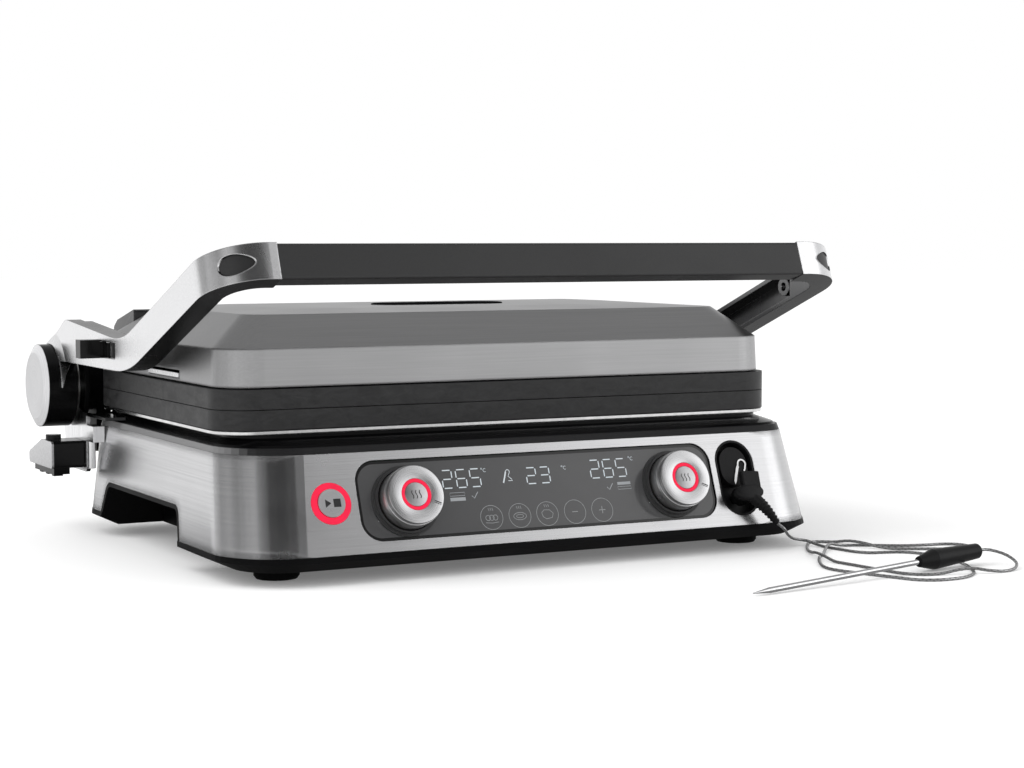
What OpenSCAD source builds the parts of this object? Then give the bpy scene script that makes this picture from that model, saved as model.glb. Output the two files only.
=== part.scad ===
/* [Base] */
// Width of the steel skirt along its lower edge
base_w = 429; // [360:1:500]
// Depth of the base from the skirt's front foot to the rear wall
base_d = 322; // [280:1:390]
// Height of the skirt's lower edge above the table
skirt_z = 18; // [14:0.5:24]
// Height of the steel skirt
skirt_h = 60.5; // [54:0.5:74]
// Lean of the side walls, in degrees
side_lean = 6.6; // [0:0.1:12]
// Lean of the control panel, in degrees
panel_lean = 20.7; // [10:0.1:26]
// Radius of the base's upright front corners
corner_r = 45; // [30:1:60]
// Radius of the base's right front corner at the skirt's foot
right_corner_r = 37; // [25:1:60]
// Radius of the base's upright rear corners
rear_corner_r = 34; // [20:1:50]
// Thickness of the steel skirt
steel_t = 1.2; // [0.8:0.1:2]
// Wall of the plastic mouldings
wall_t = 2.5; // [2:0.1:3.2]
// Clearance round pieces that sit in or beside each other
gap = 0.3; // [0.2:0.05:0.5]
// Height of the rubber feet below the tub
foot_h = 8; // [6:0.5:11]
// Diameter of a rubber foot
foot_d = 29; // [20:0.5:34]
// Distance of a front foot's centre from the middle of the base
foot_x = 172; // [130:1:178]
// Distance of a rear foot's centre from the middle of the base
rear_foot_x = 120; // [80:1:170]
// Distance of a foot's centre from the base's front or rear
foot_in = 45; // [34:1:60]
// Depth of the hand holds into the sides
hold_depth = 46; // [30:1:56]
// Front edge of the hand holds
hold_y = 105; // [90:1:125]
// Length of the hand holds
hold_l = 166; // [120:1:180]
// Height of the hand holds' roof above the table
hold_z = 37; // [32:0.5:44]
// Width of the bead round a hand hold
bead_w = 3; // [2:0.1:4]
// Height of the trim strip round the deck
trim_h = 4; // [3:0.1:6]
// Height of the deck's upper ledge above the trim strip
deck_h = 7; // [5:0.1:8]

/* [Control panel] */
// Width of the glass panel
glass_w = 262; // [240:1:268]
// Height of the glass panel
glass_h = 52; // [44:0.5:53]
// Height of the panel's middle above the skirt's lower edge, along the panel
panel_v = 33; // [30:0.5:36]
// Corner radius of the glass panel
glass_r = 14; // [8:0.5:18]
// Thickness of the glass
glass_t = 3; // [2:0.1:4]
// Depth of the glass below the steel
glass_sink = 1.2; // [0.6:0.1:1.6]
// Distance of the knobs from the middle
knob_u = 98.6; // [90:0.1:106]
// Diameter of a knob's face
knob_d = 37.4; // [30:0.1:40]
// Height of a knob's face above the steel
knob_out = 17; // [14:0.5:22]
// Diameter of the button in a knob
knob_button_d = 19; // [14:0.5:22]
// Diameter of a knob's shaft
shaft_d = 6; // [5:0.1:7]
// Distance of the start button from the middle
start_u = 149; // [146:0.5:156]
// Diameter of the start button's lit ring
start_d = 26; // [22:0.5:28]
// Distance of the probe socket from the middle
jack_u = 150.5; // [149:0.5:156]
// Width of the probe socket's recess
jack_w = 30.6; // [26:0.1:32]
// Height of the probe socket's recess
jack_h = 53; // [46:0.5:54]
// Depth of the probe socket's recess
jack_deep = 9; // [7:0.5:11]
// Travel of a push button
button_travel = 1; // [0.6:0.1:1.5]

/* [Cooking plates] */
// Width of the cooking plates
plate_w = 413; // [350:1:422]
// Depth of the cooking plates
plate_d = 266; // [240:1:272]
// Distance of the plates' front edge from the skirt's front foot
plate_y = 46; // [44:1:60]
// Height of one cooking plate
plate_h = 12.6; // [11:0.1:16]
// Gap between the two closed plates
seam = 0.4; // [0.3:0.05:0.8]
// Corner radius of the plates
plate_r = 26; // [16:1:34]
// Width of the plates' flat rim
plate_rim = 20; // [14:0.5:26]
// Height of the cooking ribs
rib_h = 4.4; // [3:0.1:5]
// Distance from rib to rib
rib_pitch = 15; // [12:0.5:18]
// Diameter of the heating tubes
heater_d = 6.5; // [5:0.1:7.5]

/* [Lid] */
// Width of the lid's cover
lid_w = 407; // [344:1:410]
// Distance of the lid's front from the skirt's front foot
lid_y = 49; // [47:1:66]
// Depth of the lid's cover
lid_d = 257; // [230:1:262]
// Height of the lid's upright band
band_h = 24; // [18:0.5:30]
// Height of the lid's sloping shoulder
shoulder_h = 20.5; // [14:0.5:24]
// Width of the lid's sloping shoulder
shoulder_w = 26; // [20:0.5:34]
// Rise of the crowned top
crown_h = 2; // [0:0.1:3]
// Thickness of the lid's cover
cover_t = 2; // [1.5:0.1:3]

/* [Hinge and handle] */
// Distance of the hinge axis from the skirt's front foot
hub_y = 338; // [335:0.5:400]
// Height of the hinge axis above the table
hub_z = 104.5; // [102:0.5:108]
// Diameter of the hinge drum
drum_d = 60; // [54:0.5:64]
// Length of the hinge drum
drum_l = 20.7; // [16:0.1:24]
// Diameter of the hinge pin
pin_d = 12; // [8:0.1:14]
// Running clearance of pins, as a radius
run = 0.05; // [0.02:0.01:0.09]
// Thickness of the hinge posts
post_t = 3; // [2:0.1:3.2]
// Distance from the middle to the arms' outer faces
arm_x = 230; // [228:0.5:260]
// Thickness of the arms
arm_t = 15.6; // [15:0.1:16]
// Wall of the arm channels
arm_wall = 3; // [2.5:0.1:3.5]
// Height of the arms and the grip, square to their slope
arm_h = 23.4; // [20:0.1:25]
// Outer radius of the handle's front corners
bend_r = 36; // [26:1:44]
// Length of the grip
grip_l = 377; // [320:1:378]
// Distance of the grip's front above the skirt's front foot
grip_y = -1.4; // [-4:0.1:10]
// Height of the grip's upper front edge above the table
grip_z = 209.4; // [200:0.1:216]
// Diameter of the pins that carry the lid
float_d = 8; // [6:0.1:9]
// Distance of the lid's pins from the skirt's front foot
float_y = 318; // [317:0.5:320]
// Height of the lid's pins above the table
float_z = 137; // [136:0.5:139]

/* [Hidden] */

$fn = 64;
eps = 0.01;

// The base's slopes, as run over rise
side_run = tan(side_lean);
front_run = tan(panel_lean);
corner_draft = 0.115;
skirt_top = skirt_z + skirt_h;
trim_top = skirt_top + trim_h;
deck_top = trim_top + deck_h;

// Heights of the plates and the lid, one upon the other
pan_lip = 2;
lower_z = deck_top + pan_lip + gap + 0.5;
seam_z = lower_z + plate_h;
upper_z = seam_z + seam;
frame_z = upper_z + plate_h;
frame_lip = 0.9;
cover_z = frame_z + frame_lip;
crease_z = cover_z + band_h;
shoulder_z = crease_z + shoulder_h;
lid_rear = lid_y + lid_d;
plate_rear = plate_y + plate_d;

// Knob, drum and slider faces, which set the object's outer box
knob_face_r = knob_d / 2;
face_bevel = 0.4;
knob_barrel_r = knob_face_r + 0.8;
drum_r = drum_d / 2;
drum_x = arm_x - 10.4;
cap_h = 3;
cap_bevel = 5.8;
slider_out = 14;
front_most = (panel_v - 1.3 - knob_face_r + face_bevel) * sin(panel_lean) - knob_out * cos(panel_lean);
mid_y = (front_most + hub_y + drum_r) / 2;
knob_v = panel_v - 1.3;

// Hinge post and lever, from the arms inwards
shroud_r = 19;
washer_t = 1;
post_x = drum_x - 2 * washer_t - gap / 2;
lever_y = 302;
lever_l = 60;
lever_z = 46.8;
lever_h = 19.4;
lever_travel = 10;

// Arm profile, in the side view
arm_top_z = function (y) grip_z - front_run * (y - grip_y);
arm_low_z = function (y) arm_top_z(y) - arm_h / cos(panel_lean);
elbow_rise = tan(4.5);
elbow_z = 144.5;
elbow_y = 185;
elbow_top_z = function (y) elbow_z + elbow_rise * (y - elbow_y);
elbow_low_z = 123.3;
elbow_top_r = 100;
elbow_low_r = 140;
elbow_top_y = (grip_z + front_run * grip_y - elbow_z + elbow_rise * elbow_y) / (front_run + elbow_rise);
elbow_low_y = (grip_z + front_run * grip_y - arm_h / cos(panel_lean) - elbow_low_z) / front_run;
hood_y = 303;
hood_end_y = hub_y + 9;
hood_end_z = hub_z + 29;
slot_y0 = 186;
slot_y1 = 233;
slot_z = 136.5;
slot_h = 10.6;
slider_y = 218;
slider_l = 10.6;
slider_h = 12.6;
slider_travel = 28;

// Route of the probe's cable, on the table beside the base
cable_d = 2;
cable_points = [
    [168, -11, 19.4], [172, -13.3, 15.5], [178.5, -9, 10.5], [188, -1, 6.6], [196, 3, 4.6], [202, 1, 3.4],
    [205, -6, 1.6], [206, -16, 1], [208, -28, 1], [210, -41, 1], [216, -50, 1], [226, -53, 1],
    [236, -57, 1], [243, -65, 1], [246, -78, 1], [246, -93, 1], [243, -108, 1], [238, -122, 1],
    [230, -137, 1], [221, -150, 1], [208, -159, 1], [194, -162, 1], [181, -160, 1], [172, -153, 1],
    [167, -142, 1], [158, -118, 1], [153, -106, 1], [151, -93, 1], [154, -82, 1],
    [160, -71, 1], [167, -60, 1], [175, -50, 1], [185, -40, 1], [194, -30, 1.8], [201, -23, 3.2],
    [208, -18, 3.4], [216, -15, 1.8], [226, -16, 1], [236, -21, 1], [246, -28, 1], [258, -35, 1],
    [272, -39, 1], [285, -41, 1], [294, -47, 1], [296, -57, 1], [291, -66, 1], [283, -68, 1],
    [275, -62, 1], [265, -56, 1], [244, -44, 1], [236, -34, 1.6], [231, -23, 3.2],
    [228, -11, 3.2], [224, 0, 1.4], [217, 8, 1], [209, 8, 1], [202, 1, 1], [195, -8, 1],
    [187, -20, 1], [180, -34, 1.8], [175, -46, 3.4], [172, -58, 3.3], [172, -72, 1], [174, -87, 1],
    [176, -103, 1], [178, -118, 1], [181, -131, 1], [189, -140, 1], [201, -143, 1.2],
    [213, -145, 3], [223, -147, 3.4], [232, -151, 2], [243, -153, 1], [254, -150, 1.4],
    [262, -143, 3.2], [265.5, -134, 5.2],
    [265, -126, 7.2], [261.5, -118.2, 8.6], [256, -117.1, 9], [251, -118, 8.8]];

// Base: screws, bosses, rear wall, deck, pan, tray and cord gland
boss_x = 150;
boss_d = 10;
boss_top = skirt_top - 6;
boss_y = function (rear) rear ? base_d - 62 : 66;
screw_d = 4;
screw_head_d = 7.4;
foot_stem_d = 8;
panel_room = 2 * jack_u + jack_w + 12;
rear_w = 320;
rear_top = skirt_top - 9;
deck_lip = 2.5;
deck_y = plate_y - 3;
deck_w = plate_w - 18;
pan_w = 2 * boss_x - boss_d - 12;
pan_y = plate_y + 14;
pan_d = plate_d - 30;
pan_deep = 26;
drain_y = pan_y + pan_d - 26;
tray_w = 132;
tray_l = 104;
tray_z = 20;
tray_h = 13;
gland_x = -118;
gland_z = 40;
gland_d = 14;

// Plates and their heating tubes
well_w = plate_w - 2 * plate_rim;
well_d = plate_d - 2 * plate_rim;
floor_t = 3;
floor_z = plate_h - 7;
rib_n = floor((well_w - 24) / rib_pitch / 2);
loop_w = pan_w - heater_d - 10;
loop_d = pan_d - 70;
heater_dz = floor_z - floor_t - heater_d / 2 - gap;

// Controls
seat_d = knob_barrel_r * 2 + 5;
collar_r = seat_d / 2 + 0.8;
collar_step = 1.4;
collar_h = 4.4;
encoder_nose = 10;
board_n = -glass_sink - glass_t - 7;
knob_base_n = -glass_sink - glass_t + gap;
face_t = 2.2;
light_d = knob_button_d + 4;
start_cap_d = start_d - 8;
jack_bore = 6.4;

// Hinge posts and release levers
post_low = 44;
post_y0 = 296;
tab_y = 256;
tab_z = trim_top + 1.5 + gap;
skirt_half = function (z) base_w / 2 - (z - skirt_z) * side_run;
key_y = 322;
key_l = 16;
key_z = 53;
key_h = 6;
lever_w = 23.6;
lever_cap_t = 1.6;

// Handle
hood_r = drum_r + 2.6;
hood_lip = 2.2;
boss_front = 60;
plug_d = 13;
plug_x = grip_l / 2 + 10;
plug_screw_d = 5;

// Lid
release_y = 134;
release_l = 62;
inlay_y = 168;
inlay_w = 100;
inlay_d = 30;
hood_x = 188;
shroud_x = hood_x + 3;
hood_rear = 328;

// Probe, whose handle lies on the cable's loops with the needle down to the table
plug_v = panel_v - 13;
plug_body_d = 15;
cable_sides = 8;
handle_rear = [251, -118, 8.8];
needle_foot = [51, -153, 2];
handle_dir = unit(needle_foot - handle_rear);
handle_l = 57;
needle_d = 3.6;

module centred() { translate([0, -mid_y, 0]) children(); }
module both_sides() {
    children();
    mirror([1, 0, 0]) children();
}
module on_panel(u, v, n = 0) {
    y = v * sin(panel_lean) - n * cos(panel_lean);
    z = skirt_z + v * cos(panel_lean) + n * sin(panel_lean);
    translate([u, y, z])
        rotate([90 - panel_lean, 0, 0]) children();
}
module on_handle(x, y, n = 0) {
    translate([x, grip_y, grip_z]) rotate([-panel_lean, 0, 0]) translate([0, y, n - arm_h]) children();
}
// A rod along X between two distances from the middle, at a place in the side view
module rod(x0, x1, y, z, d) { translate([x0, y, z]) rotate([0, 90, 0]) cylinder(d = d, h = x1 - x0); }
module obround(w, h, t) {
    r = min(w, h) / 2;
    for (s = [-1, 1]) translate([s * (w / 2 - r), s * (h / 2 - r), 0]) cylinder(r = r, h = t);
    translate([-w / 2 + (w > h ? r : 0), -h / 2 + (w > h ? 0 : r), 0])
        cube([w - (w > h ? 2 * r : 0), h - (w > h ? 0 : 2 * r), t]);
}
module round_plate(w, d, r, t) {
    linear_extrude(t) {
        translate([-w / 2 + r, 0]) square([w - 2 * r, d]);
        translate([-w / 2, r]) square([w, d - 2 * r]);
        for (x = [-w / 2 + r, w / 2 - r], y = [r, d - r]) translate([x, y]) circle(r);
    }
}
// A thin outline of the base at one height, drawn in by an inset, for lofts
module base_slice(z, inset = 0) {
    half = base_w / 2 - (z - skirt_z) * side_run - inset;
    front = (z - skirt_z) * front_run + inset;
    for (s = [-1, 1]) {
        r = (s > 0 ? right_corner_r - (z - skirt_z) * corner_draft : corner_r) - inset;
        translate([s * (half - r), front + r, z]) cylinder(r = r, h = eps, $fn = 48);
        q = rear_corner_r - inset;
        translate([s * (half - q), base_d - inset - q, z]) cylinder(r = q, h = eps, $fn = 48);
    }
}
module base_block(z0, z1, inset0 = 0, inset1 = 0) {
    hull() {
        base_slice(z0, inset0);
        base_slice(z1 - eps, inset1);
    }
}
// Corner points of an outline with each corner rounded by its radius
function unit(v) = v / norm(v);
function corner(a, b, c, r, n = 6) =
    r == 0 ? [b] :
    let (u = unit(a - b), w = unit(c - b), half = acos(u * w) / 2, m = unit(u + w),
         centre = b + m * r / sin(half),
         from = b + u * r / tan(half) - centre, to = b + w * r / tan(half) - centre,
         turn = atan2(from[0] * to[1] - from[1] * to[0], from * to))
    [for (i = [0:n]) let (t = turn * i / n)
        centre + [from[0] * cos(t) - from[1] * sin(t), from[0] * sin(t) + from[1] * cos(t)]];
function rounded(points, radii) =
    let (n = len(points))
    [for (i = [0:n - 1]) each corner(points[(i + n - 1) % n], points[i], points[(i + 1) % n], radii[i])];
// A side view outline (distance from the front, height), drawn out along X
module side_prism(x0, x1, points) {
    translate([x0, 0, 0]) rotate([90, 0, 90]) linear_extrude(x1 - x0) polygon(points);
}

// Base

module hold_void(grow, x0) {
    side_prism(x0, base_w / 2 + 5, rounded(
        [[hold_y - 6 - grow, -5], [hold_y + 12 - grow, hold_z + grow],
         [hold_y + hold_l - 8 + grow, hold_z + grow], [hold_y + hold_l + 8 + grow, -5]],
        [0, 7 + grow, 7 + grow, 0]));
}
module base_tub() centred() color("#1c1c1e") difference() {
    union() {
        difference() {
            union() {
                hull() {
                    base_slice(foot_h, 14);
                    base_slice(foot_h + 6.5, -0.4);
                    base_slice(skirt_z - eps, -0.4);
                }
                base_block(skirt_z - 2, hold_z + 9, steel_t + gap, steel_t + gap);
                intersection() {
                    both_sides() hold_void(bead_w, base_w / 2 - 20);
                    base_block(skirt_z - 3, hold_z + 9, 0.1, 0.1);
                }
            }
            difference() {
                base_block(foot_h + wall_t, hold_z + 11, 17, steel_t + gap + wall_t);
                both_sides() translate([base_w / 2 - hold_depth - wall_t, hold_y - 12, 0])
                    cube([60, hold_l + 26, hold_z + wall_t]);
            }
            translate([-base_w, -50, hold_z + 5]) cube([2 * base_w, 2 * base_d, 60]);
            translate([-panel_room / 2, -20, skirt_z]) cube([panel_room, 64, 60]);
            both_sides() hold_void(0, base_w / 2 - hold_depth);
            translate([-rear_w / 2, base_d - 12, skirt_z + eps]) cube([rear_w, 20, 100]);
            translate([-tray_w / 2 - 3 - wall_t - gap, base_d - 40, tray_z - 1 - wall_t - gap])
                cube([tray_w + 6 + 2 * wall_t + 2 * gap, 50, 60]);
        }
        boss_places(foot_h) cylinder(d = boss_d, h = boss_top - foot_h);
    }
    foot_places() translate([0, 0, -eps]) cylinder(d = foot_stem_d + 0.2, h = foot_h + wall_t + 1);
    boss_places(foot_h - 1) {
        cylinder(d = screw_d + 0.4, h = boss_top);
        cylinder(d = screw_head_d + 0.6, h = 4);
    }
}
module boss_places(z) {
    for (x = [-1, 1], y = [0, 1]) translate([x * boss_x, boss_y(y), z]) children();
}
module foot_places() {
    for (s = [-1, 1]) {
        translate([s * foot_x, foot_in, 0]) children();
        translate([s * rear_foot_x, base_d - foot_in, 0]) children();
    }
}
module rubber_feet() centred() color("#101012") foot_places() {
    cylinder(d1 = foot_d - 3, d2 = foot_d, h = 2);
    translate([0, 0, 2]) cylinder(d = foot_d, h = foot_h - 2);
    cylinder(d = foot_stem_d, h = foot_h + wall_t + 0.8);
    translate([0, 0, foot_h + wall_t + gap]) cylinder(d = foot_stem_d + 3, h = 1.6);
}
module base_screws() centred() color("#8d8f93")
    boss_places(foot_h + 1) {
        cylinder(d = screw_head_d, h = 1.8);
        cylinder(d = screw_d, h = skirt_top - foot_h + 1);
    }

module steel_skirt() centred() color("#c9cacc") difference() {
    base_block(skirt_z, skirt_top);
    hull() {
        base_slice(skirt_z - 1, steel_t);
        base_slice(skirt_top + 1, steel_t);
    }
    translate([-rear_w / 2, base_d - steel_t - 2, 0]) cube([rear_w, 10, rear_top]);
    both_sides() hold_void(bead_w + 0.1, base_w / 2 - hold_depth);
    on_panel(0, panel_v, -6) translate([0, -glass_h / 2, 0]) round_plate(glass_w, glass_h, glass_r, 12);
    on_panel(-start_u, panel_v, -6) cylinder(d = start_d + 2 * gap, h = 12);
    on_panel(jack_u, panel_v, -6) obround(jack_w, jack_h, 12);
}
module deck() centred() color("#19191b") difference() {
    union() {
        base_block(skirt_top, trim_top, 0.3, 0.8);
        base_block(trim_top, trim_top + 1.5, 2.5, 3.5);
        hull() {
            base_slice(trim_top + 1.5 - eps, 3.5);
            deck_ledge(deck_top - 2);
        }
        translate([0, deck_y, deck_top - 2]) round_plate(deck_w, base_d - 3 - deck_y, plate_r, 2);
        base_block(skirt_top - deck_lip, skirt_top, steel_t + gap, steel_t + gap);
        boss_places(boss_top + gap) cylinder(d = boss_d + 4, h = deck_top - boss_top - 1);
    }
    difference() {
        union() {
            translate([0, pan_y - gap, skirt_top - 20])
                round_plate(pan_w + 2 * gap, pan_d + 2 * gap, 18, 40);
            base_block(skirt_top - 9, skirt_top - eps, steel_t + gap + wall_t, steel_t + gap + wall_t);
        }
        boss_places(boss_top + gap) cylinder(d = boss_d + 4, h = deck_top - boss_top - 1);
    }
    boss_places(skirt_top - 20) cylinder(d = screw_d + 0.2, h = 22);
}
module deck_ledge(z) {
    translate([0, deck_y, z]) round_plate(deck_w, base_d - 3 - deck_y, plate_r, eps);
}
// The pan hangs in the deck's opening by its polished lip
module reflector_pan() centred() color("#e3e4e6") difference() {
    union() {
        translate([0, plate_y, deck_top + gap]) round_plate(plate_w - 1, plate_d, plate_r, pan_lip);
        translate([0, pan_y, deck_top - pan_deep]) round_plate(pan_w, pan_d, 18, pan_deep + 1);
    }
    translate([0, pan_y + 1.2, deck_top - pan_deep + 1.2])
        round_plate(pan_w - 2.4, pan_d - 2.4, 17, pan_deep + 5);
    translate([0, drain_y, 0]) cylinder(d = 20, h = skirt_top + 10);
}
module rear_cover() centred() color("#1c1c1e") difference() {
    union() {
        translate([-rear_w / 2 + gap, base_d - steel_t - wall_t, skirt_z + gap])
            cube([rear_w - 2 * gap, wall_t + steel_t, rear_top - skirt_z - 2 * gap]);
        translate([-tray_w / 2 - 3 - wall_t, base_d - tray_l - 14, tray_z - 1 - wall_t])
            cube([tray_w + 6 + 2 * wall_t, tray_l + 11, tray_h + 2 * wall_t + 3]);
    }
    translate([-tray_w / 2 - 3, base_d - tray_l - 14 + wall_t, tray_z - 1])
        cube([tray_w + 6, tray_l + 40, tray_h + 3]);
    translate([0, drain_y, tray_z]) cylinder(d = 26, h = 40);
    translate([gland_x, base_d + 5, gland_z]) rotate([90, 0, 0]) cylinder(d = gland_d + 2 * gap, h = 20);
    for (i = [0:8]) translate([82 + i * 8, base_d - 10, 42]) cube([3.4, 20, 16]);
}
module drip_tray() centred() color("#232325") translate([0, base_d - tray_l, tray_z]) {
    difference() {
        round_plate(tray_w, tray_l, 5, tray_h);
        translate([0, 2, 2]) round_plate(tray_w - 4, tray_l - 4, 4, tray_h);
    }
    translate([-tray_w / 2 - 2.6, tray_l + 0.4, -1]) cube([tray_w + 5.2, 2.4, tray_h + 4]);
    translate([-22, tray_l, tray_h - 3]) cube([44, 12, 2.4]);
    translate([-30, tray_l - 3, 0]) cube([60, 4, tray_h]);
}
module cord_gland() centred() color("#151517")
translate([gland_x, base_d + 6, gland_z]) rotate([90, 0, 0]) difference() {
    union() {
        cylinder(d = gland_d, h = 14);
        cylinder(d = gland_d + 5, h = 5.7);
        translate([0, 0, 6 + steel_t + wall_t + gap]) cylinder(d = gland_d + 5, h = 3);
    }
    translate([0, 0, -1]) cylinder(d = 7.5, h = 20);
}

// Cooking plates, drawn for the lower one and turned over for the upper

module cooking_plate() {
    difference() {
        round_plate(plate_w, plate_d, plate_r, plate_h);
        translate([0, plate_rim, floor_z]) round_plate(well_w, well_d, 12, plate_h);
        translate([0, plate_rim - 2, -1]) round_plate(well_w + 4, well_d + 4, 12, floor_z - floor_t + 1);
        translate([-16, plate_d - plate_rim - 1, floor_z]) cube([32, plate_rim + 2, plate_h]);
    }
    for (i = [-rib_n:rib_n])
        translate([i * rib_pitch, plate_d - plate_rim - 11, floor_z - eps]) rotate([90, 0, 0])
            linear_extrude(well_d - 22) polygon([[-3.4, 0], [3.4, 0], [1.9, rib_h], [-1.9, rib_h]]);
}
// A heating tube bent into a long loop, clamped under the plate's floor
module heater() {
    r = loop_d / 2;
    for (s = [-1, 1]) {
        translate([s * (loop_w / 2 - r), plate_d / 2, 0]) rotate([0, 0, s > 0 ? -90 : 90])
            rotate_extrude(angle = 180) translate([r, 0]) circle(d = heater_d, $fn = 24);
        translate([-loop_w / 2 + r, plate_d / 2 + s * r, 0]) rotate([0, 90, 0])
            cylinder(d = heater_d, h = loop_w - 2 * r, $fn = 24);
        translate([s * 30, plate_d / 2 + r, 0]) rotate([-90, 0, 0])
            cylinder(d = heater_d - 2, h = 24, $fn = 24);
    }
}
module sensor() {
    cylinder(d = 14, h = 5);
    cylinder(d = 20, h = 1.5);
    for (s = [-1, 1]) translate([s * 4, 7, 2.5]) rotate([-90, 0, 0]) cylinder(d = 2, h = 16, $fn = 16);
}
module lower_plate() centred() color("#3d3e41") translate([0, plate_y, lower_z]) cooking_plate();
module upper_plate() centred() color("#3d3e41")
    translate([0, plate_y, upper_z + plate_h]) mirror([0, 0, 1]) cooking_plate();
module lower_heater() centred() color("#77736c") translate([0, plate_y, lower_z + heater_dz]) heater();
module upper_heater() centred() color("#77736c")
    translate([0, plate_y, upper_z + plate_h - heater_dz]) heater();
module lower_sensor() centred() color("#b8a36a")
    translate([0, plate_y + plate_d / 2, lower_z + floor_z - floor_t - 5 - gap]) sensor();
module upper_sensor() centred() color("#b8a36a")
    translate([0, plate_y + plate_d / 2, upper_z + plate_h - floor_z + floor_t + 5 + gap])
        mirror([0, 0, 1]) sensor();

// Controls

module control_glass() centred() color("#5f6063") difference() {
    on_panel(0, panel_v, -glass_sink - glass_t) translate([0, -glass_h / 2 + gap, 0])
        round_plate(glass_w - 2 * gap, glass_h - 2 * gap, glass_r - gap, glass_t);
    for (s = [-1, 1]) on_panel(s * knob_u, knob_v, -10) cylinder(d = seat_d - 2, h = 20);
}
module knob_seats() centred() color("#0e0e10")
for (s = [-1, 1]) on_panel(s * knob_u, knob_v, -glass_sink - glass_t - 1.5) difference() {
    union() {
        cylinder(d = seat_d - 2 - 2 * gap, h = glass_t + 1.7);
        cylinder(d = seat_d + 3, h = 1.5 - gap);
        translate([0, 0, glass_t + 1.56]) cylinder(r = collar_r, h = collar_step);
        translate([0, 0, glass_t + 1.56]) cylinder(r = collar_r - 1.5, h = collar_h);
    }
    translate([0, 0, 1.5]) cylinder(d = 2 * knob_barrel_r + 1, h = glass_t + collar_h + 4);
    translate([0, 0, -1]) cylinder(d = encoder_nose + 2 * gap, h = 10);
}
module display_board() centred() color("#2f6b3c") difference() {
    on_panel(0, panel_v, board_n - 1.6) translate([0, -glass_h / 2 + 2, 0]) union() {
        round_plate(glass_w - 8, glass_h - 4, 4, 1.6);
        for (u = [-1:1]) translate([u * 52, glass_h / 2 + 1, 1.6]) round_plate(40, 14, 1, 5);
        for (i = [-2:2]) translate([i * 20.4, 6, 1.6]) cylinder(d = 11, h = 5, $fn = 24);
    }
    for (s = [-1, 1]) on_panel(s * knob_u, knob_v, -30) cylinder(d = encoder_nose + 1, h = 40);
}
module knob_encoders() centred() color("#6c6f74")
for (s = [-1, 1]) on_panel(s * knob_u, knob_v, board_n - 1.6 - gap - 6) difference() {
    union() {
        translate([-7, -7, 0]) cube([14, 14, 6]);
        cylinder(d = encoder_nose - 1, h = 13);
    }
    translate([0, 0, 1]) cylinder(d = shaft_d + 2 * run, h = 30);
}
module knob_body(u) centred() color("#6d6e70") on_panel(u, knob_v, 0) {
    translate([0, 0, knob_base_n]) difference() {
        cylinder(r = knob_barrel_r, h = knob_out - face_t - 0.6 - knob_base_n);
        translate([0, 0, 3]) cylinder(d = knob_button_d + 1, h = knob_out + 10);
    }
    translate([0, 0, board_n - 6.6]) cylinder(d = shaft_d, h = knob_base_n - board_n + 8);
    translate([0, 0, knob_base_n + 3 - eps]) difference() {
        cylinder(d = 10, h = 5);
        translate([0, 0, 2]) cylinder(d = 6, h = 10);
    }
}
module left_knob() knob_body(-knob_u);
module right_knob() knob_body(knob_u);
module knob_face(u) centred() color("#d3d4d6") on_panel(u, knob_v, knob_out - face_t) difference() {
    union() {
        cylinder(r = knob_face_r, h = face_t - face_bevel);
        translate([0, 0, face_t - face_bevel])
            cylinder(r1 = knob_face_r, r2 = knob_face_r - face_bevel, h = face_bevel);
        translate([0, 0, -0.6]) cylinder(r = knob_face_r - 1.2, h = 1);
    }
    translate([0, 0, -2]) cylinder(d = light_d + 2 * 0.05, h = 10);
    rotate([0, 0, -24]) translate([light_d / 2 + 1.6, -0.5, face_t - 0.5]) cube([4, 1, 2]);
}
module left_knob_face() knob_face(-knob_u);
module right_knob_face() knob_face(knob_u);
module knob_light(u) centred() color("#ff4060") on_panel(u, knob_v, knob_out - face_t - 0.6) difference() {
    cylinder(d = light_d, h = face_t + 0.6 - 0.3);
    translate([0, 0, -1]) cylinder(d = knob_button_d + 2 * gap, h = 10);
}
module left_knob_light() knob_light(-knob_u);
module right_knob_light() knob_light(knob_u);
// Each push button has a stem that stands in the knob's hollow over its switch
module knob_button(u) centred() color("#b9babc") on_panel(u, knob_v, 0) {
    translate([0, 0, knob_out - 3.2]) cylinder(d = knob_button_d, h = 3);
    translate([0, 0, knob_base_n + 5.3 + button_travel])
        cylinder(d = 5, h = knob_out - knob_base_n - 8.6);
}
module left_knob_button() knob_button(-knob_u);
module right_knob_button() knob_button(knob_u);

module start_button_ring() centred() color("#ff4060") on_panel(-start_u, panel_v, -8) difference() {
    union() {
        cylinder(d = start_d, h = 8.6);
        cylinder(d = start_d + 6, h = 8 - steel_t - gap);
    }
    translate([0, 0, 2]) cylinder(d = start_cap_d + 2 * gap, h = 20);
    translate([0, 0, -1]) cylinder(d = 6 + 2 * gap, h = 20);
}
module start_button() centred() color("#c4c5c7") on_panel(-start_u, panel_v, -8) {
    translate([0, 0, 2 + button_travel + gap]) cylinder(d = start_cap_d, h = 7 - button_travel);
    translate([0, 0, -2]) cylinder(d = 6, h = 6);
}
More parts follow.
